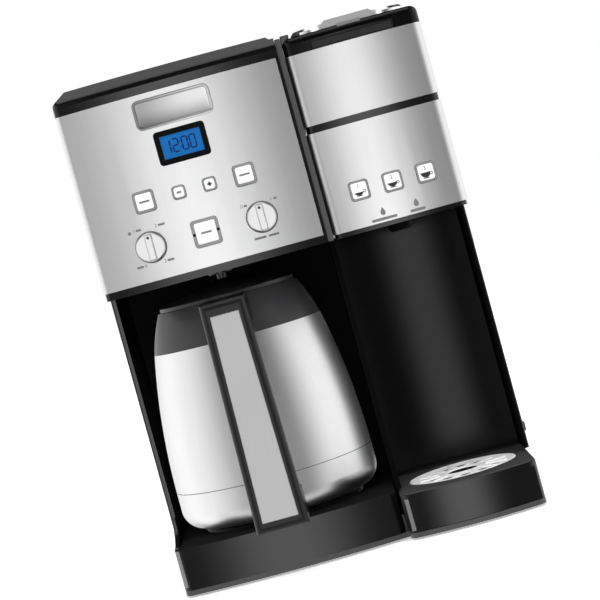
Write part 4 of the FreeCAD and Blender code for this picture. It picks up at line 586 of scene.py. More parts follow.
class Piece:
    """One new mesh, modelled by operators and then dressed."""

    FRONT = -240.0  # y at which flat pieces start, before they are laid on or moved to a face
    NUDGE = 0.037  # keeps a sheet's cuts off the seams of the CAD's own faces
    CORNER_STEPS = 6
    CAPITAL = 0.7  # height of a numeral as a share of its text size
    MERGE = 0.01
    INK_DEPTH = 0.12
    INK_PROUD = 0.04
    SHARP = math.radians(35.0)  # edges flatter than this shade smooth and stay unrounded
    UPRIGHT = (math.pi / 2, 0.0, 0.0)
    FACES = (False, False, True)
    FORWARDS = -0.8  # a face looks forwards if its normal's y is less than this

    def __init__(self, name: str) -> None:
        """Takes over the object that an operator has just added and settles its place into its mesh.

        Args:
            name: the piece's name.
        """
        self.obj = bpy.context.object
        self.obj.name = name
        self.obj.data.name = name
        bpy.ops.object.transform_apply(location=True, rotation=True, scale=True)

    @staticmethod
    def clear() -> None:
        """Deselects everything."""
        bpy.ops.object.select_all(action="DESELECT")

    @classmethod
    def sheet(cls, name: str, x: float, z: float, width: float, height: float, corner: float = 0.0,
              slices: int = 1) -> "Piece":
        """Adds a flat upright sheet in front of the object, facing forwards.

        Args:
            name: the piece's name.
            x: middle of the sheet across.
            z: middle of the sheet in height.
            width: size across.
            height: size in height.
            corner: radius of its corners.
            slices: strips that it is cut into, so that it can follow a bowed face.

        Returns:
            The new piece.
        """
        cls.clear()
        middle = metres(x + cls.NUDGE, cls.FRONT, z + cls.NUDGE)
        bpy.ops.mesh.primitive_plane_add(size=1.0, location=middle, rotation=cls.UPRIGHT)
        bpy.context.object.scale = (width * MM, height * MM, 1.0)
        piece = cls(name)
        if corner:
            piece.edit(lambda: bpy.ops.mesh.bevel(
                offset=corner * MM, segments=cls.CORNER_STEPS, affect="VERTICES"))
        for cut in range(1, slices):
            place = metres(x - width / 2 + width * cut / slices, 0, 0)
            piece.edit(lambda: bpy.ops.mesh.bisect(plane_co=place, plane_no=(1, 0, 0)))
        return piece

    @classmethod
    def disc(cls, name: str, x: float, z: float, radius: float, sides: int) -> "Piece":
        """Adds a flat upright disc in front of the object, facing forwards.

        Args:
            name: the piece's name.
            x: middle of the disc across.
            z: middle of the disc in height.
            radius: its radius.
            sides: corners of its outline.

        Returns:
            The new piece.
        """
        cls.clear()
        bpy.ops.mesh.primitive_circle_add(vertices=sides, radius=radius * MM, fill_type="NGON",
                                          location=metres(x, cls.FRONT, z), rotation=cls.UPRIGHT)
        return cls(name)

    @classmethod
    def numeral(cls, name: str, text: str, x: float, z: float, height: float) -> "Piece":
        """Adds a numeral or sign as a flat upright mesh, facing forwards.

        Args:
            name: the piece's name.
            text: what is printed.
            x: middle of the text across.
            z: middle of the text in height.
            height: height of a numeral.

        Returns:
            The new piece.
        """
        cls.clear()
        bpy.ops.object.text_add()
        sign = bpy.context.object
        sign.data.body = text
        sign.data.size = height * MM / cls.CAPITAL
        sign.data.align_x = sign.data.align_y = "CENTER"
        bpy.ops.object.convert(target="MESH")
        made = bpy.context.object
        made.location = metres(x, cls.FRONT, z)
        made.rotation_euler = cls.UPRIGHT
        return cls(name)

    @classmethod
    def block(cls, name: str, low: Point, high: Point) -> "Piece":
        """Adds a block between two corners.

        Args:
            name: the piece's name.
            low: the corner with the least coordinates.
            high: the corner with the greatest ones.

        Returns:
            The new piece.
        """
        cls.clear()
        bottom, top = metres(*low), metres(*high)
        bpy.ops.mesh.primitive_cube_add(size=1.0, location=(bottom + top) / 2)
        bpy.context.object.scale = top - bottom
        return cls(name)

    @classmethod
    def turned(cls, name: str, axis: Span, profile: Sequence[Span], steps: int) -> "Piece":
        """Spins a profile about an upright axis.

        Args:
            name: the piece's name.
            axis: x and y of the axis.
            profile: radius and height of each point, in order.
            steps: parts of the full turn.

        Returns:
            The new piece, with its doubles merged and its faces outwards.
        """
        cls.clear()
        middle = metres(*axis, 0)
        points = [middle + metres(radius, 0, height) for radius, height in profile]
        bpy.ops.mesh.primitive_plane_add(size=MM, location=points[0])
        piece = cls(name)

        def draw() -> None:
            """Draws the profile edge by edge and spins it."""
            bpy.ops.mesh.select_mode(type="VERT")
            bpy.ops.mesh.merge(type="CENTER")
            for here, there in zip(points, points[1:]):
                bpy.ops.mesh.extrude_vertices_move(TRANSFORM_OT_translate={"value": there - here})
            bpy.ops.mesh.select_all(action="SELECT")
            bpy.ops.mesh.spin(steps=steps, angle=2 * math.pi, center=middle, axis=(0, 0, 1))
            bpy.ops.mesh.select_all(action="SELECT")
            bpy.ops.mesh.remove_doubles(threshold=cls.MERGE * MM)
            bpy.ops.mesh.normals_make_consistent(inside=False)

        piece.edit(draw)
        return piece

    def alone(self) -> None:
        """Makes this piece the only one that is selected, and the active one."""
        self.clear()
        self.obj.select_set(True)
        bpy.context.view_layer.objects.active = self.obj

    def copied(self, name: str, shift: Sequence[float]) -> "Piece":
        """Copies the piece to another place, before it is dressed.

        Args:
            name: the copy's name.
            shift: how far the copy lies from the piece, along each axis.

        Returns:
            The copy, which has a mesh of its own.
        """
        self.alone()
        bpy.ops.object.duplicate(linked=False)
        bpy.context.object.location = metres(*shift)
        return Piece(name)

    def cut_off(self, point: Point, normal: Point) -> "Piece":
        """Cuts off what lies on the outer side of a plane and closes the cut."""
        return self.edit(lambda: bpy.ops.mesh.bisect(
            plane_co=metres(*point), plane_no=normal, use_fill=True, clear_outer=True))

    def edit(self, work: Callable[[], object], everything: bool = True) -> "Piece":
        """Runs operators in edit mode.

        Args:
            work: calls the operators.
            everything: whether they act on all of the mesh, or only on what was picked.

        Returns:
            The piece.
        """
        bpy.context.view_layer.objects.active = self.obj
        bpy.ops.object.mode_set(mode="EDIT")
        if everything:
            bpy.ops.mesh.select_all(action="SELECT")
        work()
        bpy.ops.object.mode_set(mode="OBJECT")
        return self

    def pick_faces(self, test: Callable[[Vector], bool]) -> "Piece":
        """Selects faces for the next edit.

        Args:
            test: tells from a face's normal whether it is picked.

        Returns:
            The piece.
        """
        bpy.context.tool_settings.mesh_select_mode = self.FACES
        mesh = self.obj.data
        for part in (mesh.vertices, mesh.edges):
            part.foreach_set("select", [False] * len(part))
        mesh.polygons.foreach_set("select", [test(face.normal) for face in mesh.polygons])
        return self

    def opened(self, rim: float) -> "Piece":
        """Leaves only a rim of a flat sheet or disc.

        Args:
            rim: width of the rim.

        Returns:
            The piece.
        """

        def open_up() -> None:
            """Insets the face and takes its middle out."""
            bpy.ops.mesh.inset(thickness=rim * MM)
            bpy.ops.mesh.delete(type="FACE")

        bpy.context.tool_settings.mesh_select_mode = self.FACES
        return self.edit(open_up)

    def inset(self, rim: float, rise: float) -> "Piece":
        """Insets the picked faces as one region and lifts their middle."""
        return self.edit(lambda: bpy.ops.mesh.inset(thickness=rim * MM, depth=rise * MM), False)

    def apply(self, kind: str, **settings: object) -> "Piece":
        """Adds a modifier and applies it.

        Args:
            kind: the modifier's type.
            settings: what is set on it, by name.

        Returns:
            The piece.
        """
        self.alone()
        modifier = self.obj.modifiers.new(kind.lower(), kind)
        for name, value in settings.items():
            setattr(modifier, name, value)
        bpy.ops.object.modifier_apply(modifier=modifier.name)
        return self

    def laid_on(self, node: str) -> "Piece":
        """Lays a flat sheet against the front of a CAD node."""
        return self.apply("SHRINKWRAP", target=frame["nodes"][node], wrap_method="PROJECT",
                          use_project_y=True, use_positive_direction=True)

    def to_front(self, y: float) -> "Piece":
        """Moves the piece from in front of the object so that its foremost point is at y."""
        foremost = min(corner[1] for corner in self.obj.bound_box) / MM
        return self.edit(lambda: bpy.ops.transform.translate(value=metres(0, y - foremost, 0)))

    def thick(self, thickness: float, share_out: float) -> "Piece":
        """Gives a sheet its thickness, with a share of it outside the sheet."""
        return self.apply("SOLIDIFY", thickness=thickness * MM, offset=2 * share_out - 1)

    def printed(self, front: float) -> "Piece":
        """Makes flat marks into ink that stands a little proud of a face at y."""
        return self.thick(self.INK_DEPTH, 0.5).to_front(front - self.INK_PROUD)

    def eased(self, width: float, segments: int = 2) -> "Piece":
        """Rounds every sharp edge a little."""
        return self.apply("BEVEL", width=width * MM, segments=segments, limit_method="ANGLE",
                          angle_limit=self.SHARP, use_clamp_overlap=True)

    def ringed(self, axis: Span, count: int) -> "Piece":
        """Copies the piece evenly round an upright axis, into one mesh.

        Args:
            axis: x and y of the axis.
            count: how many there are then.

        Returns:
            The piece.
        """
        turn = 2 * math.pi * (count - 1) / count
        return self.edit(lambda: bpy.ops.mesh.spin(
            steps=count - 1, dupli=True, angle=turn, center=metres(*axis, 0), axis=(0, 0, 1)))

    def joined(self, others: Sequence["Piece"]) -> "Piece":
        """Takes other pieces into this one.

        Args:
            others: the pieces that are taken in, and are then gone.

        Returns:
            The piece.
        """
        self.alone()
        for other in others:
            other.obj.select_set(True)
        bpy.ops.object.join()
        return self

    def dress(self, finish: Palette, body: str, slot: str, *replaced: str) -> "Piece":
        """Gives the piece its finish and its place in the frame.

        Args:
            finish: what it is dressed in.
            body: the CAD body that it moves with.
            slot: the record's material slot that it belongs to; not used.
            replaced: the CAD nodes that it stands for.

        Returns:
            The piece.
        """
        self.alone()
        bpy.ops.object.shade_smooth_by_angle(angle=self.SHARP)
        paint(self.obj, finish)
        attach(self.obj, body)
        if replaced:
            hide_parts(*replaced)
        LOG.info("%s rides on %s", self.obj.name, body)
        return self


@dataclass
class Frame:
    """The CAD nodes that stay in view, each dressed by its material slot or by its own finish."""

    nodes: dict[str, bpy.types.Object]
    record: dict

    def dress(self) -> None:
        """Dresses every CAD node and keeps the base and the walls out of the carafe's reflections."""
        finishes = {row["node"]: SLOT_FINISHES[row["material_slot"]] for row in self.record["subparts"]}
        finishes.update((name, finish) for finish, names in OWN_FINISHES.items() for name in names)
        for name, node in self.nodes.items():
            paint(node, finishes[name])
            LOG.info("dressed %s", name)
        for name in SEEN_THROUGH:
            self.nodes[name].visible_glossy = False


def middle_of(node: str) -> Span:
    """Gives the middle of a CAD node across and in height, in millimetres."""
    low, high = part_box(node)
    return (low.x + high.x) / 2 / MM, (low.z + high.z) / 2 / MM


def front_of(node: str) -> float:
    """Gives y of a CAD node's foremost point, in millimetres."""
    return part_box(node)[0].y / MM


def gathered(marks: Sequence[Piece], name: str) -> Piece:
    """Joins flat marks into one piece.

    Args:
        marks: the marks, of which there is at least one.
        name: the name of the whole.

    Returns:
        The whole.
    """
    ink = marks[0].joined(marks[1:])
    ink.obj.name = name
    return ink


@dataclass(frozen=True)
class Key:
    """Push buttons of one form, with a rim that slopes off and a cap that stands a little proud of it."""

    nodes: tuple[str, ...]
    side: float
    rim: float
    corner: float = 2.4
    depth: float = 3.0
    proud: float = 0.4
    slope: float = 0.45
    least_corner: float = 0.8
    cap_ease: float = 0.5

    @staticmethod
    def middle(node: str) -> Point:
        """Gives the middle of a button's front."""
        x, z = middle_of(node)
        return x, front_of(node), z

    def model(self, node: str) -> tuple[Piece, Piece]:
        """Models one button as a rim and a raised cap.

        Args:
            node: the button.

        Returns:
            The rim and the cap.
        """
        x, front, z = self.middle(node)
        rim = Piece.sheet(f"{node}_rim", x, z, self.side, self.side, self.corner)
        rim.opened(self.rim).thick(self.depth, 0.0).to_front(front + self.proud)
        rim.eased(self.rim * self.slope, 4)
        inner = self.side - 2 * self.rim
        corner = max(self.least_corner, self.corner - self.rim / 2)
        cap = Piece.sheet(f"{node}_cap", x, z, inner, inner, corner)
        cap.thick(self.depth + self.proud, 0.0).to_front(front).eased(self.cap_ease, 3)
        return rim, cap

    def build(self) -> dict[str, Point]:
        """Models the first button, copies it to the places of the others and dresses them all.

        Returns:
            The middle of each button's front.
        """
        middles = {node: self.middle(node) for node in self.nodes}
        first, *others = self.nodes
        made = {first: self.model(first)}
        for node in others:
            shift = Vector(middles[node]) - Vector(middles[first])
            rim, cap = made[first]
            made[node] = rim.copied(f"{node}_rim", shift), cap.copied(f"{node}_cap", shift)
        for node, (rim, cap) in made.items():
            rim.dress(Palette.KEY_RIM, node, "silver_button", node)
            cap.dress(Palette.BUTTON, node, "silver_button")
        return middles


@dataclass
class ControlPanel:
    """Plate, display, keys, dials and printed marks of the drip side's steel front."""

    face: str = "control_panel"
    dial_radius: float = 11.6
    dials: tuple[str, ...] = ("left_knob", "right_knob")
    keys: tuple[Key, ...] = (
        Key(("left_button", "right_button"), 17.0, 1.9), Key(("hour_button", "minute_button"), 10.6, 1.3),
        Key(("start_button",), 21.7, 2.4))
    badge_middle: Span = (-57.0, 381.0)
    badge_size: Span = (62.8, 24.0)
    badge_corner: float = 5.0
    badge_slices: int = 14
    badge_thickness: float = 1.5
    badge_rim: float = 1.6
    badge_slope: float = 0.8
    badge_dish: float = 0.7
    badge_ease: float = 0.3
    digits: str = "1200"
    digit_shifts: tuple[float, ...] = (-11.8, -5.1, 2.4, 8.8)
    colon_shift: float = -1.3
    colon_reach: float = 2.4
    colon_side: float = 1.0
    segment_corner: float = 0.3
    segment_depth: float = 0.24
    segment_proud: float = 0.1
    edge_shade_reach: float = 1.1
    edge_shade_width: float = 1.4
    edge_shade_depth: float = 0.8
    edge_shade_ease: float = 0.15
    dot_height: float = 7.6
    dot_radius: float = 1.15
    dot_depth: float = 0.3
    bar: float = 1.7
    numeral: float = 2.8
    sign_widths: Span = (3.8, 8.6)
    sign: float = 1.6
    lamp_reach: float = 9.6
    lamp_radius: float = 1.2
    lamp_depth: float = 0.9
    lamp_sunk: float = 0.1
    lamp_ease: float = 0.25

    def plate(self) -> None:
        """Models the bare plate over the display: a raised rim round a dished face, whose colour holds a
        painted reflection, dark on the left and light on the right.
        """
        plate = Piece.sheet("front_plate", *self.badge_middle, *self.badge_size, self.badge_corner,
                            self.badge_slices)
        plate.laid_on(self.face).thick(self.badge_thickness, 0.9)
        plate.pick_faces(lambda normal: normal.y < Piece.FORWARDS)
        plate.inset(self.badge_rim, 0.0).inset(self.badge_slope, -self.badge_dish)
        plate.eased(self.badge_ease).dress(Palette.BADGE, "root", "steel")

    def display(self) -> None:
        """Lays the segments of four numerals and a colon on the lit film."""
        window = "display_window"
        lit = {"1": "bc", "2": "abged", "0": "abcdef"}
        level, upright, corner = (3.6, 1.2), (1.2, 4.6), self.segment_corner
        places = {"a": (0, 5.2, *level), "g": (0, 0, *level), "d": (0, -5.2, *level),
                  "b": (2.2, 2.6, *upright), "c": (2.2, -2.6, *upright),
                  "e": (-2.2, -2.6, *upright), "f": (-2.2, 2.6, *upright)}
        middle, row = middle_of(window)
        marks = []
        for text, shift in zip(self.digits, self.digit_shifts):
            for segment in lit[text]:
                across, up, width, height = places[segment]
                marks.append(Piece.sheet("segment", middle + shift + across, row + up, width, height, corner))
        for up in (-self.colon_reach, self.colon_reach):
            marks.append(Piece.sheet("segment", middle + self.colon_shift, row + up, self.colon_side,
                                     self.colon_side, corner))
        digits = gathered(marks, "display_numerals").thick(self.segment_depth, 0.5)
        digits.to_front(front_of(window) - self.segment_proud).dress(Palette.SEGMENT, "root", "screen")

    def dial_marks(self) -> None:
        """Models a dark ring of painted shade round each dial, standing in for the knob's bevelled edge
        turning dark, and the dot on its grip.
        """
        for node in self.dials:
            x, z = middle_of(node)
            radius = self.dial_radius + self.edge_shade_reach
            # Painted shade: a dark ring where the knob's bevelled edge reflects dark surroundings.
            ring = Piece.disc(f"{node}_surround", x, z, radius, 64).opened(self.edge_shade_width)
            ring.laid_on(self.face).thick(self.edge_shade_depth, 0.8).eased(self.edge_shade_ease)
            ring.dress(Palette.GASKET, "root", "gloss_black")
            dot = Piece.disc(f"{node}_dot", x, z + self.dot_height, self.dot_radius, 24)
            dot.laid_on(node).thick(self.dot_depth, 0.6).dress(Palette.INK, node, "gloss_black")

    def printing(self) -> None:
        """Prints plain numbers and bars round the dials."""
        (left, row), (right, _) = (middle_of(node) for node in self.dials)
        left_high, left_low = row + 15.4, row - 13.4
        right_high, right_low = row + 11.8, row - 15.8
        signs = [("1", left - 10.0, left_high), ("2", left + 8.0, left_high),
                 ("4", left - 8.0, left_low), ("3", left + 8.0, left_low),
                 ("0", right - 13.4, right_high), ("1", right + 10.6, right_high)]
        marks = [Piece.numeral("mark", text, x, z, self.numeral) for text, x, z in signs]
        bars = [(left - 6.4, left_high, 4.4), (left + 12.6, left_high, 5.6),
                (left + 12.6, left_low, 5.4), (left - 12.6, left_low, 5.4),
                (right - 10.4, right_high, 2.4), (right + 13.8, right_high, 2.8),
                (right - 5.4, right_low, 9.6), (right + 5.6, right_low, 8.4)]
        marks += [Piece.sheet("mark", x, z, width, self.bar, 0.5) for x, z, width in bars]
        marks.append(Piece.disc("mark", left - 14.0, row + 14.6, 1.4, 24))
        ink = gathered(marks, "panel_printing").laid_on(self.face).thick(0.16, 0.8)
        ink.dress(Palette.GREY_INK, "root", "gloss_black")

    def lamps(self) -> None:
        """Sets a small dark lamp into each side of the start key's rim."""
        node = "start_button"
        start, row = middle_of(node)
        left = Piece.disc("left_lamp", start - self.lamp_reach, row, self.lamp_radius, 32)
        left.thick(self.lamp_depth, 0.0).to_front(front_of(node) + self.lamp_sunk).eased(self.lamp_ease, 3)
        right = left.copied("right_lamp", (2 * self.lamp_reach, 0.0, 0.0))
        for lamp in (left, right):
            lamp.dress(Palette.BEZEL, node, "gloss_black")

    def key_signs(self, node: str, x: float, front: float, z: float) -> None:
        """Prints a plain sign on a key's cap.

        Args:
            node: the key.
            x: middle of the cap across.
            front: y of the cap's front.
            z: middle of the cap in height.
        """
        small, large = self.sign_widths
        width = small if node in ("hour_button", "minute_button") else large
        mark = Piece.sheet(f"{node}_sign", x, z, width, self.sign, 0.5)
        if node == "minute_button":
            mark.joined([Piece.sheet("mark", x, z, self.sign, width, 0.5)])
        mark.printed(front).dress(Palette.GREY_INK, node, "gloss_black")

    def build(self) -> None:
        """Builds the whole panel."""
        self.plate()
        self.display()
        for key in self.keys:
            for node, middle in key.build().items():
                self.key_signs(node, *middle)
        self.dial_marks()
        self.printing()
        self.lamps()


@dataclass(frozen=True)
class Cup:
    """A cup key's sign: the number over the cup, and the level in it over the bowl's middle."""

    node: str
    number: str
    level: float


@dataclass
class CupControls:
    """Cup keys and printed marks of the single-cup side's lower steel wrap.

    A saucer has its height over the bowl's middle and its width. The drops have their places across and
    the widths of the bars under them, and a drop, its tip and its bar have their height and their size.
    """

    side: float = 15.5
    rim: float = 1.5
    radius: float = 3.9
    line: float = 0.5
    overhang: float = 0.6
    handle: float = 1.3
    saucer: Span = (-4.2, 5.0)
    numeral: float = 3.0
    cups: tuple[Cup, ...] = (
        Cup("small_cup_button", "1", -1.5), Cup("medium_cup_button", "2", -0.8),
        Cup("large_cup_button", "3", 0.0))
    drops: tuple[Span, ...] = ((81.7, 20.6), (109.0, 12.4))
    drop: Span = (257.0, 2.0)
    tip: Span = (259.1, 2.5)
    bar: Span = (252.2, 2.2)
    bar_corner: float = 0.7

    def bowl(self, x: float, z: float, level: float) -> Piece:
        """Draws the part of a round bowl that lies below a level.

        Args:
            x: middle of the bowl across.
            z: middle of the bowl in height.
            level: the level over the middle.

        Returns:
            The flat mark.
        """
        edge = metres(0, 0, z + level)
        return Piece.disc("mark", x, z, self.radius, 40).edit(lambda: bpy.ops.mesh.bisect(
            plane_co=edge, plane_no=(0, 0, 1), clear_outer=True))

    def pictogram(self, cup: Cup, x: float, front: float, z: float) -> None:
        """Prints a cup that is filled to its level, with a plain number over it.

        Args:
            cup: the key and its sign.
            x: middle of the key's cap across.
            front: y of the cap's front.
            z: middle of the cap in height.
        """
        middle, low = x - 0.6, z - 0.4
        width = 2.0 * math.sqrt(self.radius ** 2 - cup.level ** 2) + self.overhang
        under, wide = self.saucer
        marks = [self.bowl(middle, low, cup.level),
                 Piece.sheet("mark", middle, low + cup.level, width, self.line),
                 Piece.disc("mark", x + self.radius, low - 1.0, self.handle, 24).opened(self.line),
                 Piece.sheet("mark", middle, low + under, wide, self.line, 0.2),
                 Piece.numeral("mark", cup.number, x - 0.4, z + 3.3, self.numeral)]
        gathered(marks, f"{cup.node}_sign").printed(front).dress(Palette.INK, cup.node, "gloss_black")

    def droplets(self) -> None:
        """Prints a droplet with a bar under it twice below the keys."""
        marks = []
        bar, height = self.bar
        for x, width in self.drops:
            marks += [Piece.disc("mark", x, *self.drop, 32), Piece.disc("mark", x, *self.tip, 3),
                      Piece.sheet("mark", x, bar, width, height, self.bar_corner, 4)]
        ink = gathered(marks, "fascia_printing").laid_on("lower_fascia").thick(Piece.INK_DEPTH, 0.7)
        ink.dress(Palette.GREY_INK, "root", "gloss_black")

    def build(self) -> None:
        """Builds the keys and their marks."""
        middles = Key(tuple(cup.node for cup in self.cups), self.side, self.rim).build()
        for cup in self.cups:
            self.pictogram(cup, *middles[cup.node])
        self.droplets()


@dataclass
class Lids:
    """Small parts on the two lids: the flared corners beside the column and the tab under the grip."""

    column: Span = (34.0, 39.1)
    flare_top: float = 413.6
    ease: float = 0.3
    tab_box: tuple[Point, Point] = ((85.0, -106.0, 404.0), (104.0, -95.0, 410.8))
    tab_ease: float = 0.8

    def flares(self) -> None:
        """Fills the bevelled corner of each lid beside the column with a wedge of the column's moulding."""
        left, right = self.column
        wedge = Piece.block("lid_flare", (left - 3.8, -96.0, 409.8), (left, 138.0, self.flare_top))
        wedge.cut_off((left, 0.0, 410.0), (-1.0, 0.0, -1.0)).eased(self.ease)
        wedge.dress(Palette.COLUMN, "reservoir_lid", "charcoal")
        wedge = Piece.block("brew_lid_flare", (right, -93.0, 404.5), (right + 7.0, 30.0, self.flare_top))
        wedge.cut_off((right, 0.0, 404.5), (9.1, 0.0, -7.0)).eased(self.ease)
        wedge.dress(Palette.COLUMN, "brew_lid", "charcoal")

    def tab(self) -> None:
        """Models the tab below the grip of the single-cup lid."""
        tab = Piece.block("brew_lid_tab", *self.tab_box).eased(self.tab_ease, 3)
        tab.dress(Palette.STRIP, "brew_lid", "chrome")

    def build(self) -> None:
        """Builds the parts on both lids."""
        self.flares()
        self.tab()


@dataclass
class Carafe:
    """Fine lines of the thermal carafe."""

    axis: Span = (-58.5, -26.0)
    seam: Span = (83.5, 77.0)
    half: float = 0.3
    sunk: float = 0.4
    proud: float = 0.06

    def build(self) -> None:
        """Models the dark line where the base cap is pressed onto the wall."""
        radius, height = self.seam
        inner, outer = radius - self.sunk, radius + self.proud
        low, high = height - self.half, height + self.half
        line = Piece.turned("carafe_seam", self.axis, [
            (inner, low), (outer, low), (outer, high), (inner, high)], 120)
        line.dress(Palette.GASKET, "carafe", "gloss_black")


@dataclass(frozen=True)
class HighlightStrip:
    """A pale strip painted on the front of a CAD node as the highlight of its rounded corner, with the body
    that it moves with.
    """

    node: str
    body: str
    middle: Span
    size: Span


@dataclass
class Base:
    """Drip plate, and the pale strips painted on the left corners of the base and the tray as highlights."""

    middle: Span = (91.0, -62.0)
    top: float = 37.2
    profile: tuple[Span, ...] = (
        (12.6, -0.5), (12.9, 0.0), (14.4, 0.7), (16.2, 0.7), (17.6, 0.0), (40.4, 0.0), (41.6, 0.8),
        (43.0, 1.1), (44.4, 0.8), (44.9, -0.2), (44.9, -2.0), (44.2, -2.0), (44.2, -0.5), (12.6, -0.5))
    ribs: int = 12
    rib_reach: Span = (20.0, 38.0)
    rib_half: float = 1.5
    rib_rise: float = 0.9
    rib_sunk: float = 0.3
    rib_ease: float = 0.5
    hole: float = 4.7
    hole_ring: float = 29.0
    drill_half: float = 2.0
    strip_depth: float = 0.3
    strip_corner: float = 0.4
    strips: tuple[HighlightStrip, ...] = (
        HighlightStrip("base_housing", "root", (-148.0, 24.0), (3.2, 30.0)),
        HighlightStrip("drip_tray", "drip_tray", (39.4, 20.6), (3.0, 26.0)))

    def plate(self) -> None:
        """Models the drip plate: a pressed sheet with a middle hole, a ring of holes, ribs and a rim."""
        x, y = self.middle
        top = self.top
        points = [(radius, top + rise) for radius, rise in self.profile]
        sheet = Piece.turned("drip_plate_sheet", self.middle, points, 144)
        low, high = top - self.drill_half, top + self.drill_half
        drill = Piece.turned("drill", (x + self.hole_ring, y), [
            (0.0, low), (self.hole, low), (self.hole, high), (0.0, high)], 32)
        drill.ringed(self.middle, self.ribs)
        sheet.apply("BOOLEAN", object=drill.obj, operation="DIFFERENCE", solver="EXACT")
        bpy.data.objects.remove(drill.obj)
        inner, outer = self.rib_reach
        rib = Piece.block("rib", (x + inner, y - self.rib_half, top - self.rib_sunk),
                          (x + outer, y + self.rib_half, top + self.rib_rise)).eased(self.rib_ease, 3)
        rib.edit(lambda: bpy.ops.transform.rotate(
            value=math.pi / self.ribs, orient_axis="Z", center_override=metres(x, y, 0)))
        sheet.joined([rib.ringed(self.middle, self.ribs)])
        sheet.dress(Palette.PLATE, "drip_plate", "steel", "drip_plate")

    def build(self) -> None:
        """Builds the plate and the painted highlight strips."""
        self.plate()
        # Each strip is a painted highlight where a rounded corner catches the light.
        for strip in self.strips:
            sheet = Piece.sheet(f"{strip.node}_strip", *strip.middle, *strip.size, self.strip_corner, 4)
            sheet.laid_on(strip.node).thick(self.strip_depth, 0.7)
            sheet.dress(Palette.STRIP, strip.body, "charcoal")


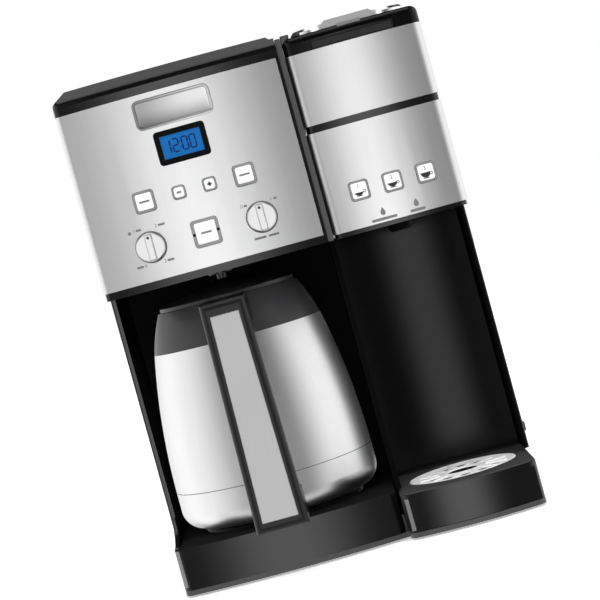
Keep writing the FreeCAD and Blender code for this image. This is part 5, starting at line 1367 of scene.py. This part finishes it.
@dataclass
class Studio:
    """Camera, soft light and floor.

    The horizon's stops, ends and starts are headings in degrees off the front. The other spans are
    heights, as the upward share of a ray.
    """

    eye: Point = (20.0, -1864.0, 275.0)
    target: Point = (0.0, -114.0, 207.8)
    lean: float = 15.3
    lens: float = 133.0
    sight: float = 50.0
    horizon: tuple[Span, ...] = (
        (-180.0, 0.9), (-150.0, 1.1), (-126.0, 1.35), (-104.0, 1.4), (-93.0, 1.1), (-83.0, 1.25),
        (-66.0, 0.98), (-50.0, 0.74), (-36.0, 0.38), (-26.0, 0.14), (-19.0, 0.8), (-11.0, 2.2),
        (-5.0, 2.55), (1.0, 2.55), (7.0, 1.9), (16.0, 0.4), (24.0, 0.12), (38.0, 0.15), (50.0, 0.55),
        (66.0, 1.05), (80.0, 1.35), (91.0, 1.1), (103.0, 1.4), (114.0, 1.35), (130.0, 1.15), (180.0, 0.9))
    brightest: float = 2.55
    front_ends: Span = (20.0, 34.0)
    rear_starts: Span = (128.0, 150.0)
    front_top: Span = (0.11, 0.26)
    front_foot: Span = (-0.44, -0.22)
    side_reach: Span = (0.50, 0.80)
    rear_top: Span = (0.12, 0.30)
    rear_foot: Span = (-0.6, -0.3)
    overhead: Span = (0.86, 0.95)
    overhead_strength: float = 1.6
    underneath: Span = (-0.75, -0.45)
    underneath_strength: float = 0.7
    dim: float = 0.03
    fill: float = 0.5
    key: float = 1.6
    key_ends: Span = (40.0, 110.0)
    key_rises: Span = (0.0, 0.4)
    floor_size: float = 12.0
    floor_colour: Colour = (0.9, 0.9, 0.9)
    floor_glow: float = 0.4

    def camera(self) -> None:
        """Places the camera, rolled so that the object leans as in the photograph."""
        back = (metres(*self.eye) - metres(*self.target)).normalized()
        right = Vector((0.0, 0.0, 1.0)).cross(back).normalized()
        up = back.cross(right)
        roll = math.radians(self.lean)
        across = right * math.cos(roll) - up * math.sin(roll)
        along = up * math.cos(roll) + right * math.sin(roll)
        data = bpy.data.cameras.new("camera")
        data.lens = self.lens
        data.clip_end = self.sight
        made = bpy.data.objects.new("camera", data)
        bpy.context.scene.collection.objects.link(made)
        turn = Matrix((across, along, back)).transposed().to_4x4()
        made.matrix_world = Matrix.Translation(metres(*self.eye)) @ turn
        bpy.context.scene.camera = made

    def surroundings(self) -> None:
        """Sets soft light all round, with panels in front, at the sides and overhead for reflections."""
        world = bpy.data.worlds.new("studio")
        bpy.context.scene.world = world
        tree = FinishTree(world)
        east, north, up = tree.axes(tree.node("ShaderNodeTexCoord", output="Generated"))
        heading = east.maths("ARCTAN2", east, 0.0 - north)
        turn = abs(heading) * (180.0 / math.pi)
        stops = [(degrees / 360 + 0.5, strength / self.brightest) for degrees, strength in self.horizon]
        place = heading * (0.5 / math.pi) + 0.5
        ring = tree.node("ShaderNodeValToRGB", {"stops": stops}, {0: place}) * self.brightest
        low = up.falling(*self.front_top) * (1.0 - up.falling(*self.front_foot))
        tall = abs(up).falling(*self.side_reach)
        flat = up.falling(*self.rear_top) * (1.0 - up.falling(*self.rear_foot))
        ahead = turn.falling(*self.front_ends)
        behind = 1.0 - turn.falling(*self.rear_starts)
        reach = ahead * low + behind * flat + (1.0 - ahead - behind) * tall
        above = (1.0 - up.falling(*self.overhead)) * self.overhead_strength
        panels = ring * reach + above + up.falling(*self.underneath) * self.underneath_strength + self.dim
        path = tree.node("ShaderNodeLightPath", output="Is Camera Ray")
        through, even = (Signal(tree, path.socket.node.outputs[name])
                         for name in ("Is Transmission Ray", "Is Diffuse Ray"))
        seen = path.maths("MAXIMUM", path, through)
        key = turn.falling(*self.key_ends) * (1.0 - up.falling(*self.key_rises))
        lit = even * (key * self.key + self.fill) + (1.0 - even) * panels
        shade = tree.node("ShaderNodeBackground", None, {
            "Color": WHITE, "Strength": seen + (1.0 - seen) * lit})
        tree.node("ShaderNodeOutputWorld", None, {"Surface": shade})

    def floor(self) -> None:
        """Lays a pale floor that keeps the object's shadow and lets reflections see the surroundings."""
        Piece.clear()
        bpy.ops.mesh.primitive_plane_add(size=self.floor_size)
        ground = bpy.context.object
        ground.name = "floor"
        pale = bpy.data.materials.new("pale_floor")
        tree = FinishTree(pale)
        path = tree.node("ShaderNodeLightPath", output="Is Camera Ray")
        mirrored = Signal(tree, path.socket.node.outputs["Is Glossy Ray"])
        matt = tree.node("ShaderNodeBsdfDiffuse", None, {"Color": (*self.floor_colour, 1.0)})
        glow = tree.node("ShaderNodeEmission", None, {"Color": WHITE, "Strength": path * self.floor_glow})
        lit = tree.node("ShaderNodeAddShader", None, {0: matt, 1: glow})
        clear = tree.node("ShaderNodeBsdfTransparent")
        shown = tree.node("ShaderNodeMixShader", None, {0: mirrored, 1: lit, 2: clear})
        tree.node("ShaderNodeOutputMaterial", None, {"Surface": shown})
        ground.data.materials.append(pale)

    def build(self) -> None:
        """Sets up the whole studio."""
        bpy.context.scene.view_settings.view_transform = "Standard"
        self.camera()
        self.surroundings()
        self.floor()


def main() -> None:
    """Builds every sub-assembly in order."""
    logging.basicConfig(level=logging.INFO, format="%(message)s")
    Frame(frame["nodes"], frame["record"]).dress()
    ControlPanel().build()
    CupControls().build()
    Lids().build()
    Carafe().build()
    Base().build()
    Studio().build()


if __name__ == "__main__":
    main()
